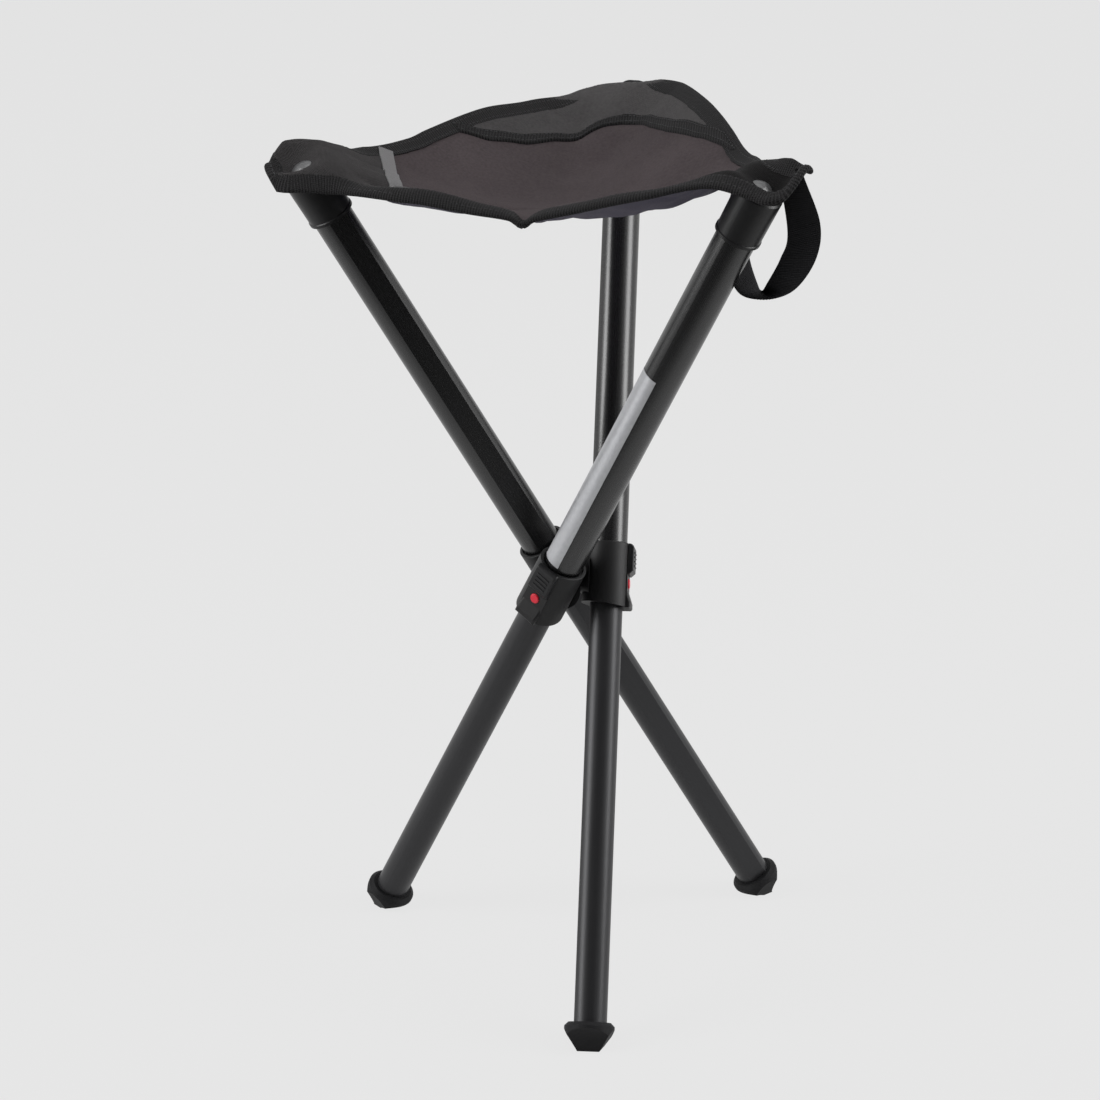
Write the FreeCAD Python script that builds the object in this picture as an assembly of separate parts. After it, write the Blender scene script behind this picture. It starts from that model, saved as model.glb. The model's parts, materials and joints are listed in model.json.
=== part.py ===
import FreeCAD, Part
import os
from math import acos, atan2, cos, degrees, exp, hypot, log, pi, radians, sin, sqrt, tan

# Collapsible stool on three crossed telescopic legs. Millimetres, +Z up.
# Each leg is drawn along its own Z axis, with Z = 0 at its pivot and +X pointing
# away from the stool's central axis, and is then tilted and turned to its place.

# Stance
LEG_NAMES = ["back", "left", "right"]   # named after the seat corner that each leg carries
LEG_OFFSET = 20.8                       # central axis to a leg's axis
LEG_TILT = 29.8                         # degrees from upright, with the stool open
UPPER_REACH = 294.8                     # pivot to the upper tube's top end
LOWER_REACH = 259.0                     # pivot to the lower tube's bottom end

# Tubes: round with one flat that faces the central axis and keys them together
LOWER_RADIUS = 10.05
LOWER_WALL = 1.1
LOWER_FLAT = 8.6                        # leg axis to the lower tube's flat
SLIDE_GAP = 0.3                         # lower tube to upper tube
UPPER_WALL = 1.15
TUBE_OVERLAP = 38.0                     # how far the open lower tube reaches above the pivot
FIT_GAP = 0.05                          # pieces that are pressed or bonded together

# Collar at the foot of each upper tube, which holds the pivot and the release button
COLLAR_RADIUS = 14.35
COLLAR_TOP = 20.4
COLLAR_BOTTOM = 16.2
COLLAR_SLANT = 7.0                      # degrees, the mouth drops towards the outer side
COLLAR_SHOULDER = 6.6                   # where the upper tube stops inside the collar
RIM_STEP = 1.1                          # open ring around the tube at the collar's top
RIM_DEPTH = 1.8
RIM_ROUND = 0.5
LIP_REACH = 15.3
LIP_WIDTH = 15.0
LIP_DEPTH = 1.8                         # how far the lip hangs below the collar's mouth
LIP_FACE = 13.0                         # leg axis to the flat around the button
LIP_FACE_TOP = 2.0
LIP_FACE_BOTTOM = -7.5
LIP_FLARE = 7.0

# Cover above the button
COVER_SEAT = 12.4                       # leg axis to the flat that it lies on
COVER_SLIT = 0.4
COVER_REACH = 16.4
COVER_PAD = 4.0                         # height of the pad that it is fixed by
COVER_ROUND = 3.0
COVER_BEVEL = 2.2
GRIP_COUNT = 4
GRIP_PITCH = 2.6
GRIP_WIDTH = 8.4
GRIP_RADIUS = 0.55

# Release button and the snap clip that it pushes
BUTTON_LEVEL = -3.0                     # along the leg, from the pivot
BUTTON_RADIUS = 3.0
BUTTON_FACE = 13.9                      # leg axis to the top of its dome
BUTTON_DOME = 0.8
BUTTON_FLANGE = 0.45                    # flange beyond the button's radius
BUTTON_FLANGE_THICKNESS = 0.6
BUTTON_SKIN = 0.7                       # collar skin that holds the flange back
RUNNING_GAP = 0.08
PIN_ENGAGEMENT = 1.25                   # how far the locking pin enters the collar
PRESSED_GAP = 0.1                       # pressed button to the lower tube
PIN_HOLE_GAP = 0.12
CLIP_THICKNESS = 0.6
CLIP_WIDTH = 7.0
CLIP_LENGTH = 44.0
CLIP_ABOVE = 6.0                        # clip arm above the pin

# Pivots
BOSS_FACE = 4.5                         # central axis to a collar's boss
BOSS_RADIUS = 7.35
BOSS_FLARE = 1.08                       # growth of the boss towards the leg, radius over length
HUB_GAP = 0.2
HUB_HEIGHT = 15.0
HUB_CORNER = 7.8
AXLE_RADIUS = 4.0
AXLE_CLEARANCE = 0.05
HEAD_RADIUS = 5.6
HEAD_THICKNESS = 1.6
HEAD_CLEARANCE = 0.5                    # screw head to the lower tube's flat
HEAD_RECESS_GAP = 0.3
SCREW_RADIUS = 2.0
SCREW_TIP = 2.0                         # central axis to a screw's tip
SOCKET_ACROSS = 3.0
SOCKET_DEPTH = 0.9

# Guide bush on top of each lower tube
BUSH_LENGTH = 14.0
BUSH_LIP = 2.0
BUSH_WALL = 1.6
BUSH_GAP = 0.1

# Cap on top of each upper tube
CAP_TOP_RADIUS = 13.4
CAP_SKIRT_RADIUS = 13.0
CAP_SKIRT = 28.0                        # how far the cap reaches down over the tube
CAP_ROOF = 2.0
CAP_LIP = 0.5
CAP_LIP_HEIGHT = 1.6
PLUG_LENGTH = 18.0
RIVET_SHANK = 2.2
RIVET_DEPTH = 12.0
RIVET_HEAD = 6.3
RIVET_DOME = 2.4
RIVET_EDGE = 0.5

# Feet
FOOT_HEIGHT = 15.3                      # tube end to the floor along the leg
FOOT_TOP_RADIUS = 12.4
FOOT_RADIUS = 14.6
FOOT_BEVEL = 2.2
FOOT_RIM = 1.5
FOOT_RIDGE_LENGTH = 14.6
FOOT_RIDGE_WIDTH = 5.0
FOOT_WAIST = 2.2                        # how far the two long flanks are hollowed
FOOT_PLUG = 22.0
FOOT_STANDOFF = 8.0                     # collar to the foot, with the leg pushed in

# Seat, measured from the crests where its fabric turns down over the caps
CREST_STANDOFF = 13.0                   # rivet to the crest, in plan
CREST_RISE = 1.5                        # crest above the plane of the tab
CREST_SOFTNESS = 1.0
SEAT_DIP = 45.5                         # crest down to the middle of the seat
SEAT_BOWL = 1.8                         # power of the rise from the middle to the hem
HEM_DROPS = [6.5, 29.5, 0.0]            # crest to mid-hem, after the back, left and right corner
HEM_MARGIN = 15.5                       # line between two rivets to the hem
PANEL_THICKNESS = 1.5
SOFT_GAP = 0.3
SLAB_MARGIN = 5.0                       # a fabric surface's rectangle beyond the piece cut from it
BINDING_WIDTH = 10.0
BINDING_THICKNESS = 3.2
TAB_LENGTH = 21.0                       # rivet to the end of a seat corner
TAB_HALF_WIDTH = 16.5
TAB_ROUND = 7.0
TAB_TAPER = 1.0
TAB_THICKNESS = 2.0
TAB_DROP = 6.0                          # rivet level to the tab's outer part, at the rivet
TAB_RISE = 0.25                         # slope of that outer part
TAB_SOFTNESS = 1.2
CAP_STANDOFF = 17.3                     # rivet to the end of the seat panel
TONGUE_LENGTH = 52.0                    # rivet to the inner hem of the corner patch
PATCH_THICKNESS = 1.1
SEAM_WIDTH = 2.0                        # where the corner patch's tongue meets its tab
LINING_THICKNESS = 1.0
LINING_SAG = 5.0
LINING_INSET = 4.0

# Strap loop under the right corner: its two edges, as points from the rivet in plan
# (outwards, sideways, up), from the seat's outer end, down and round behind the leg
STRAP_THICKNESS = 1.5
STRAP_NEAR_EDGE = [
    (17.0, 14.0, 0.0),
    (21.0, 23.0, -20.5),
    (18.0, 23.5, -40.5),
    (8.0, 19.0, -58.0),
    (-4.0, 13.0, -65.0),
    (-20.0, 8.5, -66.0),
    (-32.0, 11.0, -61.0),
    (-39.5, 11.5, -47.0),
    (-38.0, 10.0, -32.0),
    (-28.0, 8.5, 0.0),
]
STRAP_FAR_EDGE = [
    (-2.0, 15.5, 0.0),
    (3.0, 17.0, -27.5),
    (-2.5, 17.5, -43.0),
    (-12.0, 17.5, -58.5),
    (-21.0, 23.0, -66.0),
    (-26.0, 25.0, -63.0),
    (-34.0, 28.0, -52.0),
    (-38.0, 30.0, -39.5),
    (-34.0, 28.5, -26.0),
    (-24.0, 27.0, 0.0),
]

# Label strip on the right leg
LABEL_LENGTH = 143.0
LABEL_WIDTH = 15.0
LABEL_THICKNESS = 0.15
LABEL_START = 2.5                       # collar to the strip
LABEL_TURN = -20.0                      # degrees around the leg, from its outer side

X_AXIS = FreeCAD.Vector(1, 0, 0)
Y_AXIS = FreeCAD.Vector(0, 1, 0)
Z_AXIS = FreeCAD.Vector(0, 0, 1)
ORIGIN = FreeCAD.Vector(0, 0, 0)

TILT = radians(LEG_TILT)
PIVOT_HEIGHT = (LOWER_REACH + FOOT_HEIGHT) * cos(TILT)
UPPER_INNER = LOWER_RADIUS + SLIDE_GAP
UPPER_RADIUS = UPPER_INNER + UPPER_WALL
UPPER_INNER_FLAT = LOWER_FLAT + SLIDE_GAP
UPPER_FLAT = UPPER_INNER_FLAT + UPPER_WALL
CAP_TOP = UPPER_REACH + CAP_ROOF
FABRIC_STACK = TAB_THICKNESS + SOFT_GAP
RIVET_SEAT = CAP_TOP + FABRIC_STACK
FLANGE_RADIUS = BUTTON_RADIUS + BUTTON_FLANGE
BUTTON_INNER = UPPER_INNER + PIN_ENGAGEMENT
BUTTON_TRAVEL = PIN_ENGAGEMENT + SLIDE_GAP - PRESSED_GAP
CLOSED_REACH = COLLAR_BOTTOM + LIP_DEPTH + FOOT_STANDOFF
SLIDE_RANGE = LOWER_REACH - CLOSED_REACH


def vec(x, y, z):
    return FreeCAD.Vector(x, y, z)


def cylinder(radius, bottom, top):
    return Part.makeCylinder(radius, top - bottom, vec(0, 0, bottom), Z_AXIS)


def cross_cylinder(radius, start, end, level=0.0):
    """A cylinder along the leg's X axis, from X = start to X = end."""
    return Part.makeCylinder(radius, end - start, vec(start, 0, level), X_AXIS)


def block(low, high):
    size = high - low
    return Part.makeBox(size.x, size.y, size.z, low)


def half_space(size):
    """A block below Z = 0 that is large enough to cut away all that lies there."""
    return block(vec(-size, -size, -size), vec(size, size, 0))


def keyed_bar(radius, flat, bottom, top):
    """A round bar with one flat on its -X side."""
    room = 2 * radius
    cut = block(vec(-room, -room, bottom - 1), vec(-flat, room, top + 1))
    return cylinder(radius, bottom, top).cut(cut)


def keyed_tube(radius, flat, wall, bottom, top):
    bore = keyed_bar(radius - wall, flat - wall, bottom - 1, top + 1)
    return keyed_bar(radius, flat, bottom, top).cut(bore)


def prism(points, half_width):
    """A solid whose outline in the XZ plane is given, as wide as 2 * half_width along Y."""
    corners = [vec(x, -half_width, z) for x, z in points]
    face = Part.Face(Part.makePolygon(corners + corners[:1]))
    return face.extrude(vec(0, 2 * half_width, 0))


def turned(points):
    """A solid of revolution about Z, from its outline in the XZ plane."""
    corners = [vec(x, 0, z) for x, z in points]
    face = Part.Face(Part.makePolygon(corners + corners[:1]))
    return face.revolve(ORIGIN, Z_AXIS, 360)


def rounded(shape, radius, chosen):
    edges = [edge for edge in shape.Edges if chosen(edge)]
    return shape.makeFillet(radius, edges)


def upper_tube():
    return keyed_tube(UPPER_RADIUS, UPPER_FLAT, UPPER_WALL, COLLAR_SHOULDER, UPPER_REACH)


def lower_tube():
    tube = keyed_tube(LOWER_RADIUS, LOWER_FLAT, LOWER_WALL, -LOWER_REACH, TUBE_OVERLAP)
    hole = cross_cylinder(FLANGE_RADIUS + PIN_HOLE_GAP, 0, LOWER_RADIUS + 1, BUTTON_LEVEL)
    return tube.cut(hole)


def collar_lip():
    """The grip below the button, which flares out and hangs below the mouth."""
    bottom = -COLLAR_BOTTOM - LIP_DEPTH
    outline = [
        (0, LIP_FACE_TOP),
        (LIP_FACE, LIP_FACE_TOP),
        (LIP_FACE, LIP_FACE_BOTTOM),
        (LIP_REACH, LIP_FACE_BOTTOM - LIP_FLARE),
        (LIP_REACH, bottom),
        (0, bottom),
    ]
    lip = prism(outline, LIP_WIDTH / 2)
    outer = [e for e in lip.Edges if e.CenterOfMass.x > LIP_FACE]
    ends = [e for e in outer if abs(abs(e.CenterOfMass.y) - LIP_WIDTH / 2) < 0.01]
    lowest = [e for e in outer if abs(e.CenterOfMass.z - bottom) < 0.01 and e not in ends]
    return lip.makeFillet(1.4, ends + lowest)


def collar_boss():
    """The cone that carries the pivot and meets the hub near the central axis."""
    start = -(LEG_OFFSET - BOSS_FACE)
    length = -start - UPPER_INNER_FLAT
    end_radius = BOSS_RADIUS + BOSS_FLARE * length
    cone = Part.makeCone(BOSS_RADIUS, end_radius, length, vec(start, 0, 0), X_AXIS)
    return cone.common(cylinder(-start + 2, -COLLAR_BOTTOM + 1, COLLAR_TOP - 1))


def collar():
    body = cylinder(COLLAR_RADIUS, -COLLAR_BOTTOM - 3, COLLAR_TOP)
    body = rounded(body, RIM_ROUND, lambda edge: edge.Closed and edge.CenterOfMass.z > COLLAR_TOP - 0.1)
    slant = half_space(3 * COLLAR_RADIUS)
    slant.rotate(ORIGIN, Y_AXIS, COLLAR_SLANT)
    slant.translate(vec(0, 0, -COLLAR_BOTTOM))
    body = body.cut(slant)
    wide = 2 * COLLAR_RADIUS
    seat = block(vec(COVER_SEAT, -wide, LIP_FACE_TOP), vec(wide, wide, COLLAR_TOP + 1))
    button_flat = block(vec(LIP_FACE, -wide, LIP_FACE_BOTTOM - LIP_FLARE), vec(wide, wide, LIP_FACE_TOP))
    body = body.cut(seat).cut(button_flat)
    body = body.fuse([collar_lip(), collar_boss()]).removeSplitter()

    tube_room = keyed_bar(UPPER_RADIUS + FIT_GAP, UPPER_FLAT + FIT_GAP, COLLAR_SHOULDER, COLLAR_TOP + 1)
    bore = keyed_bar(UPPER_INNER, UPPER_INNER_FLAT, -COLLAR_BOTTOM - 10, COLLAR_TOP)
    ring = cylinder(UPPER_RADIUS + RIM_STEP, COLLAR_TOP - RIM_DEPTH, COLLAR_TOP + 1)
    head_floor = -(LEG_OFFSET - axle_end()) - AXLE_CLEARANCE
    axle_bore = cross_cylinder(AXLE_RADIUS + AXLE_CLEARANCE, -LEG_OFFSET, 0)
    head_room = cross_cylinder(HEAD_RADIUS + HEAD_RECESS_GAP, head_floor, 0)
    button_room = cross_cylinder(FLANGE_RADIUS + RUNNING_GAP, 0, LIP_FACE - BUTTON_SKIN, BUTTON_LEVEL)
    button_hole = cross_cylinder(BUTTON_RADIUS + RUNNING_GAP, 0, wide, BUTTON_LEVEL)
    return body.cut([tube_room, bore, ring, axle_bore, head_room, button_room, button_hole])


def release_cover():
    """The raised plate above the button, fixed by a pad and ribbed for the thumb."""
    low = LIP_FACE_TOP
    high = COLLAR_TOP - 0.2
    half = sqrt(COLLAR_RADIUS ** 2 - COVER_SEAT ** 2)
    back = COVER_SEAT + COVER_SLIT
    outline = [
        (COVER_SEAT + FIT_GAP, low + FIT_GAP),
        (COVER_REACH - COVER_BEVEL, low + FIT_GAP),
        (COVER_REACH, low + COVER_BEVEL),
        (COVER_REACH, high),
        (back, high),
        (back, low + COVER_PAD),
        (COVER_SEAT + FIT_GAP, low + COVER_PAD),
    ]
    plate = prism(outline, half)
    top_edge = [
        e for e in plate.Edges
        if abs(e.CenterOfMass.z - high) < 0.01 and abs(e.CenterOfMass.x - COVER_REACH) < 0.01
    ]
    plate = plate.makeFillet(COVER_ROUND, top_edge)
    sides = [
        e for e in plate.Edges
        if abs(abs(e.CenterOfMass.y) - half) < 0.01 and e.CenterOfMass.x > COVER_REACH - 1.5
    ]
    plate = plate.makeFillet(1.0, sides)
    for n in range(GRIP_COUNT):
        level = low + 5.2 + n * GRIP_PITCH
        rib = Part.makeCylinder(GRIP_RADIUS, GRIP_WIDTH, vec(COVER_REACH, -GRIP_WIDTH / 2, level), Y_AXIS)
        plate = plate.fuse(rib)
    return plate.removeSplitter()


def release_button():
    body = cross_cylinder(BUTTON_RADIUS, BUTTON_INNER, BUTTON_FACE, BUTTON_LEVEL)
    flange_end = BUTTON_INNER + BUTTON_FLANGE_THICKNESS
    flange = cross_cylinder(FLANGE_RADIUS, BUTTON_INNER, flange_end, BUTTON_LEVEL)
    edge = [e for e in body.Edges if abs(e.CenterOfMass.x - BUTTON_FACE) < 0.01]
    return body.makeFillet(BUTTON_DOME, edge).fuse(flange)


def snap_clip():
    """A bent spring strip inside the lower tube, with the locking pin on its outer arm."""
    outer = sqrt((LOWER_RADIUS - LOWER_WALL) ** 2 - (CLIP_WIDTH / 2) ** 2) - 0.1
    inner = -(LOWER_FLAT - LOWER_WALL) + 0.1
    top = BUTTON_LEVEL + CLIP_ABOVE
    bend = (outer - inner) / 2
    middle = (outer + inner) / 2
    bottom = top - CLIP_LENGTH + bend
    skin = CLIP_THICKNESS
    outer_bend = Part.Arc(vec(inner, 0, bottom), vec(middle, 0, bottom - bend), vec(outer, 0, bottom))
    inner_bend = Part.Arc(
        vec(outer - skin, 0, bottom), vec(middle, 0, bottom - bend + skin), vec(inner + skin, 0, bottom)
    )
    path = [
        Part.makeLine(vec(inner, 0, top), vec(inner, 0, bottom)),
        outer_bend.toShape(),
        Part.makeLine(vec(outer, 0, bottom), vec(outer, 0, top)),
        Part.makeLine(vec(outer, 0, top), vec(outer - skin, 0, top)),
        Part.makeLine(vec(outer - skin, 0, top), vec(outer - skin, 0, bottom)),
        inner_bend.toShape(),
        Part.makeLine(vec(inner + skin, 0, bottom), vec(inner + skin, 0, top)),
        Part.makeLine(vec(inner + skin, 0, top), vec(inner, 0, top)),
    ]
    strip = Part.Face(Part.Wire(path)).extrude(vec(0, CLIP_WIDTH, 0))
    strip.translate(vec(0, -CLIP_WIDTH / 2, 0))
    pin_end = BUTTON_INNER - FIT_GAP
    pin = cross_cylinder(FLANGE_RADIUS - FIT_GAP, outer - skin / 2, pin_end, BUTTON_LEVEL)
    return strip.fuse(pin).removeSplitter()


def guide_bush():
    lip = keyed_bar(UPPER_INNER - BUSH_GAP, UPPER_INNER_FLAT - BUSH_GAP, TUBE_OVERLAP, TUBE_OVERLAP + BUSH_LIP)
    inner = LOWER_RADIUS - LOWER_WALL - FIT_GAP
    inner_flat = LOWER_FLAT - LOWER_WALL - FIT_GAP
    sleeve = keyed_bar(inner, inner_flat, TUBE_OVERLAP - BUSH_LENGTH, TUBE_OVERLAP)
    hole = cylinder(inner_flat - BUSH_WALL, TUBE_OVERLAP - BUSH_LENGTH - 1, TUBE_OVERLAP + BUSH_LIP + 1)
    return lip.fuse(sleeve).cut(hole).removeSplitter()


def top_cap():
    """The cap over the upper tube's end: a roof, a tapered skirt and a plug inside the tube."""
    skirt_end = UPPER_REACH - CAP_SKIRT
    outline = [
        (0, skirt_end),
        (CAP_SKIRT_RADIUS + CAP_LIP, skirt_end),
        (CAP_SKIRT_RADIUS + CAP_LIP, skirt_end + CAP_LIP_HEIGHT),
        (CAP_SKIRT_RADIUS, skirt_end + CAP_LIP_HEIGHT + CAP_LIP),
        (CAP_TOP_RADIUS, CAP_TOP - 1.0),
        (CAP_TOP_RADIUS - 1.0, CAP_TOP),
        (0, CAP_TOP),
    ]
    room = keyed_bar(UPPER_RADIUS + FIT_GAP, UPPER_FLAT + FIT_GAP, skirt_end - 1, UPPER_REACH)
    plug = keyed_bar(UPPER_INNER - FIT_GAP, UPPER_INNER_FLAT - FIT_GAP, UPPER_REACH - PLUG_LENGTH, UPPER_REACH)
    bore = cylinder(RIVET_SHANK + FIT_GAP, CAP_TOP - RIVET_DEPTH, CAP_TOP + 1)
    return turned(outline).cut(room).fuse(plug).removeSplitter().cut(bore)


def seat_rivet():
    shank = cylinder(RIVET_SHANK, CAP_TOP - RIVET_DEPTH, RIVET_SEAT + RIVET_EDGE)
    rim = cylinder(RIVET_HEAD, RIVET_SEAT, RIVET_SEAT + RIVET_EDGE)
    ball = (RIVET_HEAD ** 2 + RIVET_DOME ** 2) / (2 * RIVET_DOME)
    base = RIVET_SEAT + RIVET_EDGE
    dome = Part.makeSphere(ball, vec(0, 0, base + RIVET_DOME - ball))
    dome = dome.common(cylinder(RIVET_HEAD, base, base + RIVET_DOME + 1))
    return shank.fuse([rim, dome]).removeSplitter()


def foot():
    """The rubber foot: a bevelled disc on a wedge, whose ridge meets the floor flat."""
    top = -LOWER_REACH
    rim = top - FOOT_BEVEL
    wedge_top = rim - FOOT_RIM
    floor = top - FOOT_HEIGHT
    deep = floor - FOOT_RADIUS * tan(TILT)
    disc = turned([
        (0, wedge_top), (FOOT_RADIUS, wedge_top), (FOOT_RADIUS, rim), (FOOT_TOP_RADIUS, top), (0, top),
    ])
    ridge = FOOT_RIDGE_LENGTH / 2
    side_slope = (FOOT_RADIUS - ridge) / (wedge_top - floor)
    below = ridge - side_slope * (floor - deep)
    front = prism([
        (-FOOT_RADIUS, wedge_top), (-below, deep), (below, deep), (FOOT_RADIUS, wedge_top),
    ], FOOT_RADIUS)
    half = FOOT_RIDGE_WIDTH / 2
    middle = (wedge_top + floor) / 2
    waist = (FOOT_RADIUS + half) / 2 - FOOT_WAIST
    left_flank = Part.Arc(
        vec(0, -FOOT_RADIUS, wedge_top), vec(0, -waist, middle), vec(0, -half, floor)
    ).toShape()
    right_flank = Part.Arc(
        vec(0, half, floor), vec(0, waist, middle), vec(0, FOOT_RADIUS, wedge_top)
    ).toShape()
    flank_wire = Part.Wire([
        left_flank,
        Part.makeLine(vec(0, -half, floor), vec(0, -half, deep)),
        Part.makeLine(vec(0, -half, deep), vec(0, half, deep)),
        Part.makeLine(vec(0, half, deep), vec(0, half, floor)),
        right_flank,
        Part.makeLine(vec(0, FOOT_RADIUS, wedge_top), vec(0, -FOOT_RADIUS, wedge_top)),
    ])
    side = Part.Face(flank_wire).extrude(vec(2 * FOOT_RADIUS, 0, 0))
    side.translate(vec(-FOOT_RADIUS, 0, 0))
    wedge = front.common(side).common(cylinder(FOOT_RADIUS, deep - 1, wedge_top))
    inner = LOWER_RADIUS - LOWER_WALL - FIT_GAP
    plug = keyed_bar(inner, LOWER_FLAT - LOWER_WALL - FIT_GAP, top - 1, top + FOOT_PLUG)
    ground = half_space(3 * FOOT_RADIUS)
    ground.rotate(ORIGIN, X_AXIS, LEG_TILT)
    ground.translate(vec(0, 0, floor))
    return disc.fuse([wedge, plug]).cut(ground).removeSplitter()


def label_strip():
    """A thin blank strip that is wrapped part of the way round the tube."""
    start = COLLAR_TOP + LABEL_START
    radius = UPPER_RADIUS + FIT_GAP
    angle = degrees(LABEL_WIDTH / radius)
    outer = Part.makeCylinder(radius + LABEL_THICKNESS, LABEL_LENGTH, vec(0, 0, start), Z_AXIS, angle)
    inner = cylinder(radius, start - 1, start + LABEL_LENGTH + 1)
    strip = outer.cut(inner)
    strip.rotate(ORIGIN, Z_AXIS, LABEL_TURN - angle / 2)
    return strip


def axle_end():
    """Central axis to the end of a pivot axle."""
    return LEG_OFFSET - LOWER_FLAT - HEAD_CLEARANCE - HEAD_THICKNESS


def hub():
    """Three pivot axles that stand out of one small three-sided block."""
    flat = BOSS_FACE - HUB_GAP
    body = cylinder(HUB_CORNER, -HUB_HEIGHT / 2, HUB_HEIGHT / 2)
    for name in LEG_NAMES:
        cut = block(vec(flat, -LEG_OFFSET, -HUB_HEIGHT), vec(LEG_OFFSET, LEG_OFFSET, HUB_HEIGHT))
        axle = cross_cylinder(AXLE_RADIUS, 0, axle_end())
        for piece in (cut, axle):
            piece.rotate(ORIGIN, Z_AXIS, leg_angle(name))
        body = body.cut(cut)
    for name in LEG_NAMES:
        axle = cross_cylinder(AXLE_RADIUS, 0, axle_end())
        axle.rotate(ORIGIN, Z_AXIS, leg_angle(name))
        body = body.fuse(axle)
    for name in LEG_NAMES:
        hole = cross_cylinder(SCREW_RADIUS + FIT_GAP, SCREW_TIP - FIT_GAP, LEG_OFFSET)
        hole.rotate(ORIGIN, Z_AXIS, leg_angle(name))
        body = body.cut(hole)
    body.translate(vec(0, 0, PIVOT_HEIGHT))
    return body.removeSplitter()


def pivot_screws():
    screws = []
    for name in LEG_NAMES:
        under = axle_end()
        screw = cross_cylinder(SCREW_RADIUS, SCREW_TIP, under + 0.5)
        head = cross_cylinder(HEAD_RADIUS, under, under + HEAD_THICKNESS)
        across = SOCKET_ACROSS / sqrt(3)
        corners = [vec(0, across * sin(radians(60 * n)), across * cos(radians(60 * n))) for n in range(7)]
        socket = Part.Face(Part.makePolygon(corners)).extrude(vec(SOCKET_DEPTH + 1, 0, 0))
        socket.translate(vec(under + HEAD_THICKNESS - SOCKET_DEPTH, 0, 0))
        screw = screw.fuse(head).cut(socket)
        screw.rotate(ORIGIN, Z_AXIS, leg_angle(name))
        screw.translate(vec(0, 0, PIVOT_HEIGHT))
        screws.append(screw)
    return Part.makeCompound(screws)


def leg_angle(name):
    return LEG_NAMES.index(name) * 360 / len(LEG_NAMES)


def placed(shape, name):
    """Move a piece drawn along its leg to that leg's place."""
    shape = shape.copy()
    shape.translate(vec(LEG_OFFSET, 0, 0))
    shape.rotate(ORIGIN, X_AXIS, -LEG_TILT)
    shape.translate(vec(0, 0, PIVOT_HEIGHT))
    shape.rotate(ORIGIN, Z_AXIS, leg_angle(name))
    return shape


def leg_point(name, along):
    """A point of a leg's axis."""
    turn = radians(leg_angle(name))
    side = along * sin(TILT)
    x = LEG_OFFSET * cos(turn) - side * sin(turn)
    y = LEG_OFFSET * sin(turn) + side * cos(turn)
    return vec(x, y, PIVOT_HEIGHT + along * cos(TILT))


def corner_angle(name):
    top = leg_point(name, RIVET_SEAT)
    return degrees(atan2(top.y, top.x))


def corner_distance():
    top = leg_point(LEG_NAMES[0], RIVET_SEAT)
    return hypot(top.x, top.y)


def swell(t):
    """From 0 to 1, level at both ends."""
    return (1 - cos(pi * min(1.0, t))) / 2


def hem_distance():
    """Central axis to the middle of a hem."""
    return corner_distance() / 2 + HEM_MARGIN


def crest_height():
    return leg_point(LEG_NAMES[0], RIVET_SEAT).z + tan(TILT) * CREST_STANDOFF + CREST_RISE


def hem_rise(angle):
    """Height of the seat's outer part above its middle, by direction in plan."""
    first = corner_angle(LEG_NAMES[0])
    turn = ((angle - first) % 360) / 60
    stops = []
    for drop in HEM_DROPS:
        stops += [SEAT_DIP, SEAT_DIP - drop]
    n = int(turn)
    return stops[n] + (stops[(n + 1) % 6] - stops[n]) * swell(turn - n)


def seat_height(x, y):
    """Top of the seat fabric between the corners."""
    angle = degrees(atan2(y, x))
    spread = cos(radians(3 * (angle - corner_angle(LEG_NAMES[0]))))
    crest = corner_distance() - CREST_STANDOFF
    middle = (crest + hem_distance()) / 2
    reach = middle + (crest - middle) * spread
    return crest_height() - SEAT_DIP + hem_rise(angle) * (hypot(x, y) / reach) ** SEAT_BOWL


def soft_max(a, b, softness):
    """The larger of two heights, blended where they meet."""
    high = max(a, b)
    return high + softness * log(exp((a - high) / softness) + exp((b - high) / softness))


def corner_height(name, x, y):
    """Top of the fabric at a corner, where it bends down over the cap."""
    top = leg_point(name, RIVET_SEAT)
    lean = radians(leg_angle(name) + 90)
    out = (x - top.x) * cos(lean) + (y - top.y) * sin(lean)
    over_cap = top.z - tan(TILT) * out
    beyond = top.z - TAB_DROP + TAB_RISE * out
    outer = soft_max(over_cap, beyond, TAB_SOFTNESS)
    return -soft_max(-outer, -seat_height(x, y), CREST_SOFTNESS)


def solid_from(faces):
    """The solid that is enclosed by faces which meet at their edges."""
    shell = Part.makeShell(faces)
    shell.sewShape()
    solid = Part.makeSolid(Part.Shell(shell.Faces))
    if solid.Volume < 0:
        solid.reverse()
    return solid.Solids[0]


def slab(height, over, under, low, high, steps, turn=0.0):
    """A solid between two copies of one surface, over a rectangle that is turned in plan."""
    c, s = cos(radians(turn)), sin(radians(turn))
    faces = []
    for lift in (over, under):
        rows = []
        for i in range(steps[0] + 1):
            a = low[0] + (high[0] - low[0]) * i / steps[0]
            row = []
            for j in range(steps[1] + 1):
                b = low[1] + (high[1] - low[1]) * j / steps[1]
                x, y = a * c - b * s, a * s + b * c
                row.append(vec(x, y, height(x, y) + lift))
            rows.append(row)
        surface = Part.BSplineSurface()
        surface.interpolate(rows)
        faces.append(surface.toShape())
    top, bottom = faces
    sides = [Part.makeRuledSurface(e, f) for e, f in zip(top.Edges, bottom.Edges)]
    return solid_from([top, bottom] + sides)


def upright(points, turn):
    """A tall prism on an outline given in plan, turned about the central axis."""
    corners = [vec(a, b, 0) for a, b in points]
    face = Part.Face(Part.makePolygon(corners + corners[:1]))
    solid = face.extrude(vec(0, 0, 2 * crest_height()))
    solid.rotate(ORIGIN, Z_AXIS, turn)
    return solid


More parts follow.
